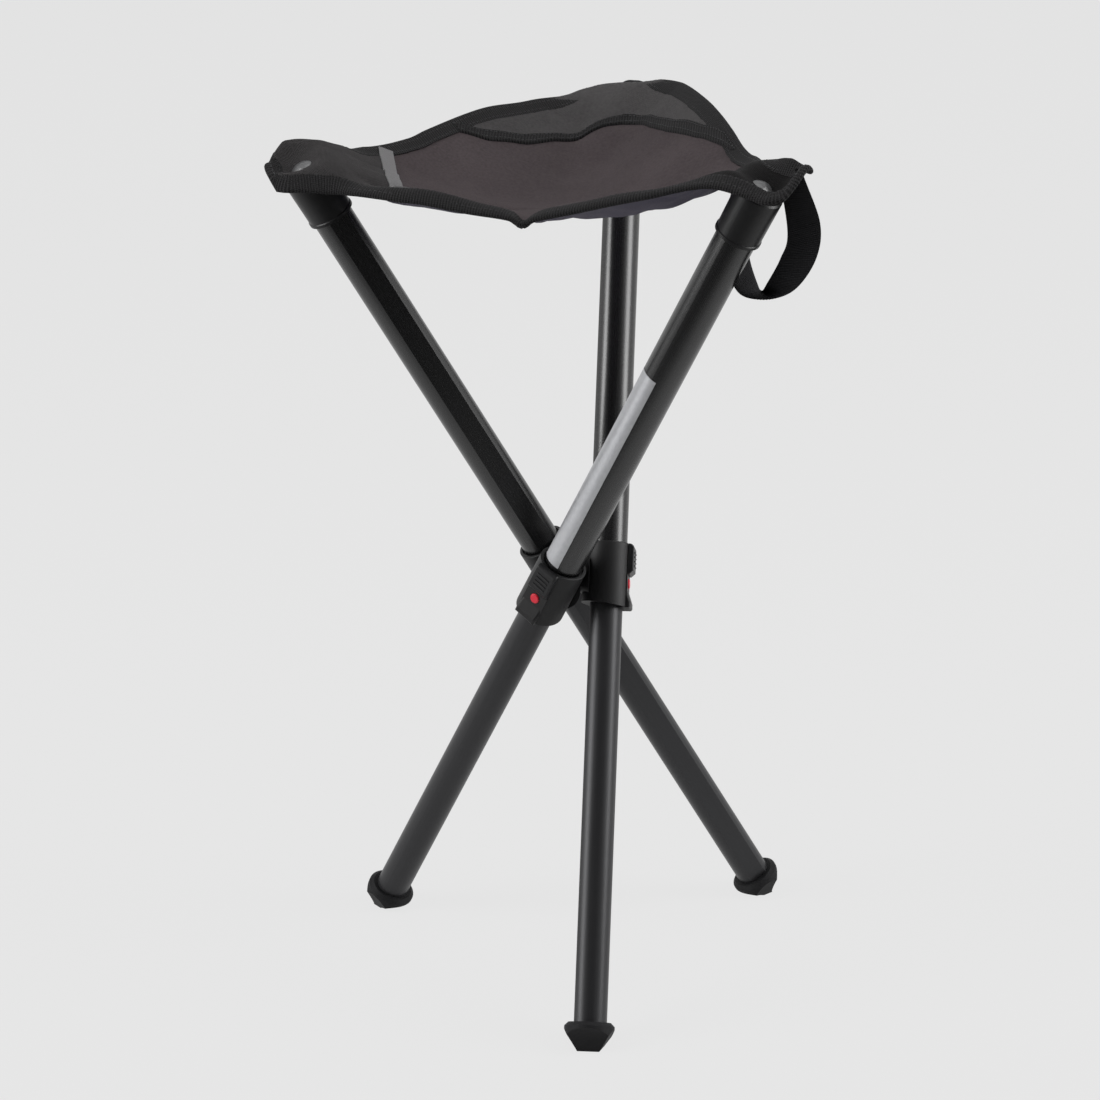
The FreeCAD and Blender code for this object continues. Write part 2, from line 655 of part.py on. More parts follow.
def hem_side(distance, along):
    """Half width in plan, at a distance along a corner's direction, of a triangle with hems this far out."""
    return (distance - along / 2) / (sqrt(3) / 2)


def panel_outline(distance, end):
    """Outline of a triangle of fabric with blunt corners, as a polygon in plan."""
    points = []
    for name in LEG_NAMES:
        turn = radians(corner_angle(name))
        for side in (-1, 1):
            b = side * hem_side(distance, end)
            points.append((end * cos(turn) - b * sin(turn), end * sin(turn) + b * cos(turn)))
    return points


def seat_panel():
    end = corner_distance() - CAP_STANDOFF
    reach = end + 2 * SLAB_MARGIN
    sheet = slab(seat_height, 0, -PANEL_THICKNESS, (-reach, -reach), (reach, reach), (22, 22))
    inset = hem_distance() - BINDING_WIDTH - SOFT_GAP
    return sheet.common(upright(panel_outline(inset, end), 0))


def lining_height(x, y):
    inset = hem_distance() - BINDING_WIDTH
    belly = 1 - min(1.0, hypot(x, y) / inset) ** 2
    return seat_height(x, y) - PANEL_THICKNESS - SOFT_GAP - LINING_SAG * belly ** 2


def seat_lining():
    end = corner_distance() - TONGUE_LENGTH
    reach = end + 2 * SLAB_MARGIN
    sheet = slab(lining_height, 0, -LINING_THICKNESS, (-reach, -reach), (reach, reach), (20, 20))
    inset = hem_distance() - BINDING_WIDTH - LINING_INSET
    return sheet.common(upright(panel_outline(inset, end), 0))


def edge_binding(n):
    """The folded tape along one hem, between two corner patches."""
    end = corner_distance() - CAP_STANDOFF
    inner = hem_distance() - BINDING_WIDTH
    turn = corner_angle(LEG_NAMES[n]) + 60
    corners = []
    for distance, side in ((inner, -1), (hem_distance(), -1), (hem_distance(), 1), (inner, 1)):
        corners.append((distance, side * (end - distance / 2) / (sqrt(3) / 2)))
    half = corners[0][1]
    over = (BINDING_THICKNESS - PANEL_THICKNESS) / 2
    sheet = slab(
        seat_height, over, over - BINDING_THICKNESS,
        (inner - SLAB_MARGIN, half - SLAB_MARGIN), (hem_distance() + SLAB_MARGIN, SLAB_MARGIN - half),
        (4, 24), turn,
    )
    return sheet.common(upright(corners, turn))


def corner_patch(name):
    """The stitched corner: a tongue over the seat panel and a tab over the cap."""
    rivet = corner_distance()
    start = rivet - CAP_STANDOFF + SOFT_GAP
    tip = rivet + TAB_LENGTH
    turn = corner_angle(name)

    def height(x, y):
        return corner_height(name, x, y)

    tab_outline = [
        (start, -hem_side(hem_distance(), start)),
        (rivet, -TAB_HALF_WIDTH),
        (tip - TAB_ROUND, -TAB_HALF_WIDTH + TAB_TAPER),
        (tip, -TAB_HALF_WIDTH + TAB_ROUND),
        (tip, TAB_HALF_WIDTH - TAB_ROUND),
        (tip - TAB_ROUND, TAB_HALF_WIDTH - TAB_TAPER),
        (rivet, TAB_HALF_WIDTH),
        (start, hem_side(hem_distance(), start)),
    ]
    side = hem_side(hem_distance(), start) + SLAB_MARGIN
    tab = slab(
        height, 0, -TAB_THICKNESS,
        (start - SLAB_MARGIN, -side), (tip + SLAB_MARGIN, side), (10, 10), turn,
    )
    tab = tab.common(upright(tab_outline, turn))
    inner = rivet - TONGUE_LENGTH
    inset = hem_distance() - BINDING_WIDTH - SOFT_GAP
    seam = start + SEAM_WIDTH
    tongue_outline = [
        (inner, -hem_side(inset, inner)),
        (seam, -hem_side(inset, seam)),
        (seam, hem_side(inset, seam)),
        (inner, hem_side(inset, inner)),
    ]
    wide = hem_side(inset, inner) + SLAB_MARGIN
    tongue = slab(
        seat_height, SOFT_GAP + PATCH_THICKNESS, SOFT_GAP,
        (inner - SLAB_MARGIN, -wide), (seam + SLAB_MARGIN, wide), (8, 12), turn,
    )
    tongue = tongue.common(upright(tongue_outline, turn))
    joint = slab(
        height, SOFT_GAP + PATCH_THICKNESS, -TAB_THICKNESS,
        (start - SLAB_MARGIN, -side), (seam + SLAB_MARGIN, side), (6, 10), turn,
    )
    joint_outline = [(start, -hem_side(inset, start))] + tongue_outline[1:3] + [(start, hem_side(inset, start))]
    joint = joint.common(upright(joint_outline, turn))
    hole = placed(cylinder(RIVET_SHANK + FIT_GAP, CAP_TOP - 10, CAP_TOP + 10), name)
    head_room = placed(cylinder(RIVET_HEAD + SOFT_GAP, RIVET_SEAT, RIVET_SEAT + 3 * RIVET_DOME), name)
    return tab.fuse([joint, tongue]).cut(hole).cut(head_room)


def strap_point(name, place):
    """A point of the strap's edge. A height of 0 stands for the underside of the seat."""
    turn = radians(corner_angle(name))
    out, side, up = place
    a = corner_distance() + out
    x = a * cos(turn) - side * sin(turn)
    y = a * sin(turn) + side * cos(turn)
    if up == 0.0:
        z = corner_height(name, x, y) - BINDING_THICKNESS - STRAP_THICKNESS
    else:
        z = leg_point(name, RIVET_SEAT).z + up
    return vec(x, y, z)


def strap_loop(name):
    """A flat webbing loop that hangs beside the leg, with both ends sewn under the seat."""
    near = [strap_point(name, place) for place in STRAP_NEAR_EDGE]
    far = [strap_point(name, place) for place in STRAP_FAR_EDGE]
    sections = []
    for n in range(len(near)):
        before, after = max(n - 1, 0), min(n + 1, len(near) - 1)
        run = (near[after] + far[after]) - (near[before] + far[before])
        face = run.cross(far[n] - near[n])
        face.normalize()
        lift = face * (STRAP_THICKNESS / 2)
        corners = [near[n] + lift, far[n] + lift, far[n] - lift, near[n] - lift]
        sections.append(Part.makePolygon(corners + corners[:1]))
    return Part.makeLoft(sections, True, True)


def build_nodes():
    nodes = {"hub": hub(), "pivot_screws": pivot_screws()}
    leg_pieces = {
        "upper_tube": upper_tube,
        "top_cap": top_cap,
        "seat_rivet": seat_rivet,
        "collar": collar,
        "release_cover": release_cover,
        "release_button": release_button,
        "lower_tube": lower_tube,
        "guide_bush": guide_bush,
        "snap_clip": snap_clip,
        "foot": foot,
    }
    for piece, make in leg_pieces.items():
        drawn = make()
        for name in LEG_NAMES:
            nodes[f"{piece}_{name}"] = placed(drawn, name)
    nodes["label_strip"] = placed(label_strip(), "right")
    nodes["seat_panel"] = seat_panel()
    nodes["seat_lining"] = seat_lining()
    for n, name in enumerate(LEG_NAMES):
        after = LEG_NAMES[(n + 1) % len(LEG_NAMES)]
        nodes[f"edge_binding_{name}_{after}"] = edge_binding(n)
        nodes[f"corner_patch_{name}"] = corner_patch(name)
    nodes["strap_loop"] = strap_loop("right")
    return nodes


def origin_shift(nodes):
    """From the central axis to the frame's origin, below the middle of the open stool."""
    box = FreeCAD.BoundBox()
    for shape in nodes.values():
        box.add(shape.BoundBox)
    return vec(-(box.XMin + box.XMax) / 2, -(box.YMin + box.YMax) / 2, 0)


def main():
    nodes = build_nodes()
    shift = origin_shift(nodes)
    os.makedirs("parts", exist_ok=True)
    for name, shape in nodes.items():
        shape.translate(shift)
        shape.exportStep(f"parts/{name}.step")
    print("central axis", round(shift.x, 3), round(shift.y, 3), "pivot height", round(PIVOT_HEIGHT, 3))
    print("fold", LEG_TILT, "degrees, leg travel", SLIDE_RANGE, "mm, button travel", BUTTON_TRAVEL, "mm")


main()
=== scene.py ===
import json
from math import atan2, cos, degrees, exp, hypot, pi, radians, sin, tan

import bmesh
import bpy
from mathutils import Matrix, Vector, noise


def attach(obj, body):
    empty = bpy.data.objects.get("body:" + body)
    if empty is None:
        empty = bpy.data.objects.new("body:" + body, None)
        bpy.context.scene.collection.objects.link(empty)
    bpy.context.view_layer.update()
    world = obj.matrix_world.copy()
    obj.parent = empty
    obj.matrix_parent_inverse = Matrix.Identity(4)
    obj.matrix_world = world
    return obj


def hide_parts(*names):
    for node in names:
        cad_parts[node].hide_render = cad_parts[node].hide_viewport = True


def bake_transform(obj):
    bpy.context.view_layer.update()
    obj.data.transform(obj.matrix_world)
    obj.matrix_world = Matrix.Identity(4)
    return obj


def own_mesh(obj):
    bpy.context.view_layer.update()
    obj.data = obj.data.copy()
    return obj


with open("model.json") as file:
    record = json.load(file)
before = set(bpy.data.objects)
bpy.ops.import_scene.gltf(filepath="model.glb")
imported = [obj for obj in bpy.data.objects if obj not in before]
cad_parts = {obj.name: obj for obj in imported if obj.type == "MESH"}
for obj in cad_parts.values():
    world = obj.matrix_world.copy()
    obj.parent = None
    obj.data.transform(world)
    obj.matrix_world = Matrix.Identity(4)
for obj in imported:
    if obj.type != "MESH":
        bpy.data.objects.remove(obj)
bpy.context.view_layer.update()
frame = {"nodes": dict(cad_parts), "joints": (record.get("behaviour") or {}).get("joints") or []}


# The camera stands a little above the seat, two metres in front of the stool, and looks down on
# it through a long lens. Its place is given from the stool's central axis. Sizes here and below
# are in millimetres, and MM turns them into metres.
MM = 0.001
joints = {joint["name"]: joint for joint in frame["joints"]}
centre = Vector(joints["fold_back"]["pos_m"])

CAMERA_PLACE = (235.84, -1976.62, 973.48)
CAMERA_LENS = 118.06
CAMERA_SENSOR = 36.0
CAMERA_TURN = 7.156
CAMERA_PITCH = 19.828
CAMERA_ROLL = -1.2534

lens = bpy.data.cameras.new("camera")
lens.lens = CAMERA_LENS
lens.sensor_width = CAMERA_SENSOR
lens.clip_end = 60
camera = bpy.data.objects.new("camera", lens)
bpy.context.collection.objects.link(camera)
camera.matrix_world = (
    Matrix.Translation(Vector(CAMERA_PLACE) * MM + Vector((centre.x, centre.y, 0)))
    @ Matrix.Rotation(radians(CAMERA_TURN), 4, "Z")
    @ Matrix.Rotation(radians(90 - CAMERA_PITCH), 4, "X")
    @ Matrix.Rotation(radians(CAMERA_ROLL), 4, "Z")
)
bpy.context.scene.camera = camera


# The hub is a small three-sided block of black nylon between the collars. Three steel screws
# hold the collars on its axles.
class Wire:
    """An output of a shader node. Arithmetic on it adds Math nodes."""

    def __init__(self, finish, socket):
        self.finish = finish
        self.socket = socket

    def maths(self, operation, a, b):
        return self.finish.node("ShaderNodeMath", {"operation": operation}, {0: a, 1: b})

    def __add__(self, other):
        return self.maths("ADD", self, other)

    def __radd__(self, other):
        return self.maths("ADD", other, self)

    def __sub__(self, other):
        return self.maths("SUBTRACT", self, other)

    def __rsub__(self, other):
        return self.maths("SUBTRACT", other, self)

    def __mul__(self, other):
        return self.maths("MULTIPLY", self, other)

    def __rmul__(self, other):
        return self.maths("MULTIPLY", other, self)

    def __gt__(self, other):
        return self.maths("GREATER_THAN", self, other)


class Finish:
    """A material, or the light around the stool. Named values go to its main shader's sockets."""

    def __init__(self, name, owner=None, main="Principled BSDF", **sockets):
        self.material = owner or bpy.data.materials.new(name)
        self.material.use_nodes = True
        self.tree = self.material.node_tree
        self.shader = self.tree.nodes[main]
        self.set(sockets)

    def set(self, sockets):
        """Sets the main shader's sockets by their names, written in small letters."""
        named = {name.replace("_", " ").title(): value for name, value in sockets.items()}
        if "Ior" in named:
            named["IOR"] = named.pop("Ior")
        self.feed(self.shader, named)

    def feed(self, node, links):
        for name, value in links.items():
            if isinstance(value, Wire):
                self.tree.links.new(value.socket, node.inputs[name])
            else:
                node.inputs[name].default_value = value

    def node(self, kind, settings=None, links=None, output=0):
        """A node of any other kind: its settings first, then its sockets."""
        node = self.tree.nodes.new(kind)
        for name, value in (settings or {}).items():
            setattr(node, name, value)
        self.feed(node, links or {})
        return Wire(self, node.outputs[output])

    def place(self):
        return self.node("ShaderNodeTexCoord", output="Object")

    def parts(self, vector):
        """The x, y and z of a vector."""
        first = self.node("ShaderNodeSeparateXYZ", links={0: vector})
        return [Wire(self, socket) for socket in first.socket.node.outputs]

    def wave(self, angle):
        return self.node("ShaderNodeMath", {"operation": "SINE"}, {0: angle})

    def grain(self, scale, detail=2.0, where=None):
        """Fine noise from 0 to 1, with its scale in spots per metre."""
        links = {"Vector": where or self.place(), "Scale": scale, "Detail": detail}
        return self.node("ShaderNodeTexNoise", links=links)

    def blend(self, factor, low, high):
        """A colour between two others."""
        links = {"Factor": factor, 6: low, 7: high}
        return self.node("ShaderNodeMix", {"data_type": "RGBA"}, links, output=2)

    def finished(self, **varied):
        """Feeds what varies over the surface. A height becomes a bump."""
        if "height" in varied:
            height, depth = varied.pop("height"), varied.pop("depth")
            links = {"Height": height, "Distance": depth, "Strength": 1.0}
            varied["normal"] = self.node("ShaderNodeBump", links=links)
        self.set(varied)
        return self.material


def dress(node, material):
    """Gives a CAD node its material."""
    piece = frame["nodes"][node]
    if not piece.data.materials:
        piece.data.materials.append(material)
    for slot in piece.material_slots:
        slot.material = material


def moulded(name, dark, light, roughness, scale=2600.0, depth=0.00004):
    """Moulded plastic: a faint cloudy tone, with a fine spark-eroded grain."""
    finish = Finish(name, ior=1.35)
    cloud = finish.grain(38.0, 3.0)
    spark = finish.grain(scale, 1.0)
    return finish.finished(
        base_color=finish.blend(cloud, dark, light),
        roughness=roughness - 0.08 + 0.16 * spark,
        height=spark,
        depth=depth,
    )


def turned_steel(name):
    finish = Finish(name, metallic=1.0)
    wear = finish.grain(900.0, 4.0)
    return finish.finished(
        base_color=finish.blend(wear, (0.42, 0.42, 0.43, 1), (0.6, 0.6, 0.61, 1)),
        roughness=0.24 + 0.2 * wear,
        height=wear,
        depth=0.00002,
    )


hub_nylon = moulded("hub nylon", (0.008, 0.008, 0.009, 1), (0.014, 0.014, 0.015, 1), 0.5)
steel = turned_steel("bright steel")
dress("hub", hub_nylon)
dress("pivot_screws", steel)


# Each lower tube is dark grey aluminium with a satin surface and faint draw lines. It carries a
# white nylon guide bush on top, and inside it a bent strip of spring steel, the snap clip.
LEGS = ["back", "left", "right"]
PIVOT_OFFSET = 20.8
# Draw lines per metre, round a tube and along it
LINES_ROUND = 2400
LINES_ALONG = 9
# Points nearer than this, in metres, are one, and edges sharper than this are not smoothed
MERGED = 0.00002
SHARP = 50


def leg_frame(name):
    """Pivot point and axes of a leg: outwards from the stool's axis, across, and up the leg."""
    out = Vector(joints["fold_" + name]["axis"]).normalized()
    up = Vector(joints["extend_" + name]["axis"]).normalized()
    return Vector(joints["fold_" + name]["pos_m"]) + out * PIVOT_OFFSET * MM, out, up.cross(out), up


def along_leg(finish, name):
    """The place on a leg, in its own axes."""
    pivot, out, across, up = leg_frame(name)
    links = {0: finish.place(), 1: pivot}
    place = finish.node("ShaderNodeVectorMath", {"operation": "SUBTRACT"}, links)
    parts = []
    for axis in (out, across, up):
        links = {0: place, 1: axis}
        dot = {"operation": "DOT_PRODUCT"}
        parts.append(finish.node("ShaderNodeVectorMath", dot, links, "Value"))
    return parts


def drawn_tube(name, leg, dark, light, roughness, spread, **sockets):
    """A drawn tube: a satin coat with faint lines along the leg."""
    finish = Finish(name + " " + leg, **sockets)
    out, across, up = along_leg(finish, leg)
    links = {0: out * LINES_ROUND, 1: across * LINES_ROUND, 2: up * LINES_ALONG}
    lines = finish.node("ShaderNodeCombineXYZ", links=links)
    draw = finish.grain(1.0, 2.0, lines)
    speck = finish.grain(3200.0, 1.0)
    return finish.finished(
        base_color=finish.blend(draw, dark, light),
        roughness=roughness + spread * draw + 0.05 * speck,
        height=draw * 0.8 + speck * 0.2,
        depth=0.000006,
    )


def close_up(piece):
    """Merges points that coincide and drops the faces that this leaves without an area."""
    shape = bmesh.new()
    shape.from_mesh(piece.data)
    bmesh.ops.remove_doubles(shape, verts=shape.verts, dist=MERGED)
    bmesh.ops.dissolve_degenerate(shape, edges=shape.edges, dist=MERGED / 2)
    bmesh.ops.recalc_face_normals(shape, faces=shape.faces)
    shape.to_mesh(piece.data)
    shape.free()
    piece.data.set_sharp_from_angle(angle=radians(SHARP))
    return piece


def spring_clip(leg):
    """A steel copy of the CAD clip, which rides with its lower tube."""
    node = frame["nodes"]["snap_clip_" + leg]
    clip = bpy.data.objects.new("spring_clip_" + leg, node.data.copy())
    bpy.context.collection.objects.link(clip)
    close_up(clip)
    clip.data.materials.clear()
    clip.data.materials.append(steel)
    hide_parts("snap_clip_" + leg)
    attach(clip, "lower_leg_" + leg)
    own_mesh(clip)


bush_nylon = moulded("bush nylon", (0.62, 0.61, 0.57, 1), (0.7, 0.69, 0.65, 1), 0.4)
for leg in LEGS:
    grey = drawn_tube(
        "grey tube", leg, (0.022, 0.022, 0.0235, 1), (0.032, 0.032, 0.034, 1),
        roughness=0.3, spread=0.12, metallic=0.5, ior=1.5,
    )
    dress("lower_tube_" + leg, grey)
    dress("guide_bush_" + leg, bush_nylon)
    spring_clip(leg)


# Each foot is a plug of black rubber with a bevelled top rim and a hollow-sided wedge that ends in
# a ridge on the floor. Its rubber is faintly cloudy in tone, with fine pores.
def rubber(name):
    finish = Finish(name, ior=1.25)
    cloud = finish.grain(60.0, 4.0)
    pores = finish.grain(2200.0, 2.0)
    return finish.finished(
        base_color=finish.blend(cloud, (0.006, 0.006, 0.0065, 1), (0.013, 0.013, 0.014, 1)),
        roughness=0.5 + 0.2 * pores,
        height=pores,
        depth=0.00006,
    )


foot_rubber = rubber("foot rubber")
for leg in LEGS:
    dress("foot_" + leg, foot_rubber)


# Each collar is black glass-filled nylon, matte, bonded on the upper tube. A ribbed cover and a
# red push button sit on its outer side.
collar_nylon = moulded(
    "collar nylon", (0.007, 0.007, 0.0075, 1), (0.013, 0.013, 0.0135, 1), 0.46,
    scale=1900.0, depth=0.00006,
)
cover_nylon = moulded("cover nylon", (0.008, 0.008, 0.0085, 1), (0.014, 0.014, 0.015, 1), 0.4)
button_red = moulded(
    "button red", (0.5, 0.016, 0.032, 1), (0.6, 0.03, 0.05, 1), 0.34,
    scale=1800.0, depth=0.00002,
)
for leg in LEGS:
    dress("collar_" + leg, collar_nylon)
    dress("release_cover_" + leg, cover_nylon)
    dress("release_button_" + leg, button_red)


# Each upper tube is aluminium with a black satin-gloss coat. A plastic cap closes its top, and
# a domed steel rivet, painted dark grey, goes through the seat's corner into the cap.
cap_plastic = moulded(
    "cap plastic", (0.008, 0.008, 0.0085, 1), (0.012, 0.012, 0.0125, 1), 0.34,
    scale=1700.0, depth=0.00003,
)


def painted_rivet(name):
    finish = Finish(name, metallic=0.0, coat_weight=0.3, coat_roughness=0.2)
    wear = finish.grain(700.0, 3.0)
    return finish.finished(
        base_color=finish.blend(wear, (0.05, 0.05, 0.052, 1), (0.085, 0.085, 0.088, 1)),
        roughness=0.3 + 0.16 * wear,
        height=wear,
        depth=0.00002,
    )


rivet_paint = painted_rivet("rivet paint")
for leg in LEGS:
    black = drawn_tube(
        "black tube", leg, (0.004, 0.004, 0.0042, 1), (0.007, 0.007, 0.0074, 1),
        roughness=0.22, spread=0.05, ior=1.6,
    )
    dress("upper_tube_" + leg, black)
    dress("top_cap_" + leg, cap_plastic)
    dress("seat_rivet_" + leg, rivet_paint)


# The label is a bare strip of silver film along the right upper tube. Its edge towards the
# right is black, and nothing is printed on it.
LABEL_EDGE = 3.2


def silver_film(leg):
    finish = Finish("silver film")
    _, across, _ = along_leg(finish, leg)
    border = across > LABEL_EDGE * MM
    streak = finish.grain(400.0, 3.0)
    silver = finish.blend(streak, (0.36, 0.365, 0.38, 1), (0.46, 0.465, 0.48, 1))
    return finish.finished(
        base_color=finish.blend(border, silver, (0.012, 0.012, 0.013, 1)),
        roughness=0.34 + 0.1 * streak,
        metallic=0.55 - 0.55 * border,
        height=streak,
        depth=0.00001,
    )


dress("label_strip", silver_film("right"))


# The seat is a sling of tightly woven dark fabric between the three rivets. It hangs from its hems
# as a shallow bowl, and its corners bend over the caps. It is made as one panel a corner, and the
# panels meet without a seam.
RIVET_ALONG_LEG = 299.1
PANEL_THICKNESS = 1.3
# A panel's points: the step between rows, the share of it that a step across is, and how far
# the edge stays inside the hem, which it reaches within a short run
PANEL_STEP = 1.8
SIDE_STEP = 1.2
PANEL_INSET = 1.0
INSET_EASE = 10
# From the seat's axis to each hem, and the direction of each hem's middle in plan
HEM = 91.0
HEM_TURN = {"back": 22.03, "left": 142.03, "right": 262.03}
# Height of each hem, by the distance along it from its middle, up to the named corner
HEM_LINES = {
    "back": [
        (-110, 508), (-80, 501), (-60, 498), (-44, 499), (-26, 504), (-4, 508.5),
        (22, 511.5), (62, 512), (110, 508),
    ],
    "left": [
        (-110, 498), (-60, 498.5), (-31, 500.5), (-11, 499.5), (20, 495.7), (33, 493.5),
        (62, 494), (85, 499), (110, 506),
    ],
    "right": [
        (-110, 489), (-86, 486.5), (-60, 486), (-32, 482), (-7, 479.5), (0, 476.5),
        (7, 479.5), (26, 484), (60, 492.5), (82, 497), (110, 502),
    ],
}
# The bowl: its lowest height, and its curve, which is straighter towards the front hem
SEAT_MIDDLE = 461.0
BOWL_POWER = 1.85
FRONT_POWER = 0.7
# Its rim turns from hem to corner over this length. A corner's own sections take over at this
# distance from the axis, after a short run-in.
HEM_SOFTNESS = 14.0
BOWL_END = 105.0
CORNER_EASE = 12
# How far the cloth stands up behind the front hem, by the place along that hem
HEM_ROLL = [(-105, 0), (-85, 6), (-50, 7), (-12, 3), (0, 1.5), (20, 3), (60, 4), (95, 3), (110, 0)]
HEM_ROLL_WIDTH = 10.0
# A soft fold behind the front hem's right half: how far inside the hem, and how high
FOLD_INSIDE = [(8, 9), (30, 17), (55, 14), (80, 22), (100, 26)]
FOLD_HEIGHT = [(5, 0), (20, 1.6), (50, 1.3), (62, 0.6), (74, 1.8), (95, 1.2), (105, 0)]
FOLD_WIDTH = 3.4
# A slanting notch behind the front hem's middle, and slight ripples of (size, rise)
NOTCH_DEPTH = 3.0
NOTCH_LENGTH = 14
NOTCH_EASE = 3
NOTCH_SLANT = 0.25
RIPPLES = [(34, 1.5), (15, 0.7)]
RIPPLE_EASE = 16
# How far the cloth reaches past each rivet, and where it starts to bend over the cap
CORNER_TIP = {"back": 20, "left": 16.5, "right": 22}
CREST = 13
# Sections across each corner: distance past the rivet, then (side, height) points
CORNER_SECTIONS = {
    "back": [
        (-26, [(-29, 509), (-15, 504.5), (0, 499), (15, 497), (29, 497.5)]),
        (-13, [(-23, 505.5), (-12, 504), (0, 503.3), (12, 501.5), (23, 498.5)]),
        (6, [(-15, 499.5), (-8, 497.5), (0, 494.1), (8, 497), (15, 495)]),
        (13, [(-14, 495), (-8, 495.5), (0, 495), (8, 495.5), (14, 493)]),
        (21, [(-8, 496), (-4, 497), (0, 497), (4, 497), (8, 495)]),
    ],
    "left": [
        (-26, [(-33, 497), (-25, 502.5), (-12, 500.5), (0, 497.5), (15, 491.5), (28, 488)]),
        (-13, [(-26, 498), (-17, 508), (-8, 506), (0, 503.6), (11, 498), (18, 487.5)]),
        (6, [(-21, 500), (-14, 510), (-7.5, 500), (0, 494.1), (9, 497), (15, 489.5)]),
        (12, [(-16, 497), (-11.5, 505.5), (-6, 500), (0, 496), (8, 496), (14, 489.5)]),
        (17, [(-11, 495.5), (-6, 500), (0, 498), (5, 495), (9, 489.5)]),
    ],
    "right": [
        (-26, [(-29, 500), (-15, 503), (0, 500), (15, 502.5), (29, 502.5)]),
        (-13, [(-22, 501), (-11, 506), (0, 503.6), (12, 507), (22, 506.5)]),
        (6, [(-15, 496.5), (-9, 499.5), (0, 494.3), (8, 500), (15, 511)]),
        (13, [(-14, 495), (-9, 498), (0, 497), (8, 503), (15, 509.5)]),
        (22, [(-9, 497), (-3, 503), (4, 509.5), (10, 511.5), (15, 508)]),
    ],
}


def follow(line, x):
    """A smooth line through (x, value) points."""
    if x <= line[0][0]:
        return line[0][1]
    if x >= line[-1][0]:
        return line[-1][1]
    n = 0
    while x > line[n + 1][0]:
        n += 1
    (x0, v0), (x1, v1) = line[n], line[n + 1]
    before = line[n - 1] if n > 0 else line[n]
    after = line[n + 2] if n + 2 < len(line) else line[n + 1]
    slope0 = (v1 - before[1]) * (1 / (x1 - before[0]))
    slope1 = (after[1] - v0) * (1 / (after[0] - x0))
    wide = x1 - x0
    t = (x - x0) / wide
    rise = t * t * (3 - 2 * t)
    return (
        v0 * (1 - rise) + v1 * rise
        + slope0 * (wide * t * (1 - t) ** 2) - slope1 * (wide * t * t * (1 - t))
    )


def rivet_place(name):
    pivot, _, _, up = leg_frame(name)
    return pivot + up * RIVET_ALONG_LEG * MM


rivets = {name: (rivet_place(name) - centre) / MM for name in LEGS}
corner_turn = {name: degrees(atan2(place.y, place.x)) for name, place in rivets.items()}
corner_reach = hypot(rivets["back"].x, rivets["back"].y)


def in_plan(name, a, s):
    """Plan place, from the axis, of a point a out towards a corner and s to its side."""
    turn = radians(corner_turn[name])
    return a * cos(turn) - s * sin(turn), a * sin(turn) + s * cos(turn)


def nearest_corner(x, y):
    """The corner whose panel holds a place in plan, with the place along it and beside it."""
    best = None
    for name in LEGS:
        turn = radians(corner_turn[name])
        a = x * cos(turn) + y * sin(turn)
        if best is None or a > best[1]:
            best = (name, a, y * cos(turn) - x * sin(turn))
    return best


def bowl(x, y):
    """Height of the sling between its hems. It rolls over a little behind the front hem."""
    angle = degrees(atan2(y, x))
    r = hypot(x, y)
    for hem, turn in HEM_TURN.items():
        off = (angle - turn + 180) % 360 - 180
        if abs(off) <= 60.001:
            break
    to_hem = HEM / cos(radians(off))
    to_crest = (corner_reach - CREST) / cos(radians(60 - abs(off)))
    corner, a, s = nearest_corner(x, y)
    hemmed = min(1.0, max(0.0, 0.5 + 0.5 * (to_crest - to_hem) / HEM_SOFTNESS))
    reach = to_crest + (to_hem - to_crest) * hemmed - HEM_SOFTNESS * hemmed * (1 - hemmed)
    at_hem = follow(HEM_LINES[hem], to_hem * sin(radians(off)))
    at_crest = follow(CORNER_SECTIONS[corner][1][1], to_crest * s / max(r, 1e-6))
    height = at_crest + (at_hem - at_crest) * hemmed
    fronting = max(0.0, cos(radians(angle - HEM_TURN["right"])))
    power = BOWL_POWER - FRONT_POWER * fronting ** 2
    height = SEAT_MIDDLE + (height - SEAT_MIDDLE) * (r / reach) ** power
    inside = max(0.0, HEM - r * cos(radians(off)))
    if hem == "right":
        along = r * sin(radians(off))
        rolled = inside / HEM_ROLL_WIDTH
        height += follow(HEM_ROLL, along) * rolled * exp(1 - rolled)
        from_fold = (inside - follow(FOLD_INSIDE, along)) / FOLD_WIDTH
        height += follow(FOLD_HEIGHT, along) * exp(-from_fold ** 2)
        from_notch = (along + NOTCH_SLANT * inside) / FOLD_WIDTH
        notch = exp(-from_notch ** 2 - inside / NOTCH_LENGTH)
        height -= NOTCH_DEPTH * notch * min(1.0, inside / NOTCH_EASE)
    for size, rise in RIPPLES:
        ripple = noise.noise(Vector((x / size, y / size, size)))
        height += rise * ripple * min(1.0, inside / RIPPLE_EASE)
    return height


def seat_top(x, y):
    """Height of the top of the seat fabric, in plan from the axis."""
    name, a, s = nearest_corner(x, y)
    if a <= BOWL_END:
        return bowl(x, y)
    share = s / half_width(name, a, s)
    line = []
    for place in (BOWL_END - CORNER_EASE, BOWL_END):
        line.append((place, bowl(*in_plan(name, place, share * half_width(name, place, s)))))
    for out, section in CORNER_SECTIONS[name]:
        side = share * abs(section[-1 if s > 0 else 0][0])
        line.append((corner_reach + out, follow(section, side)))
    return follow(line, a)


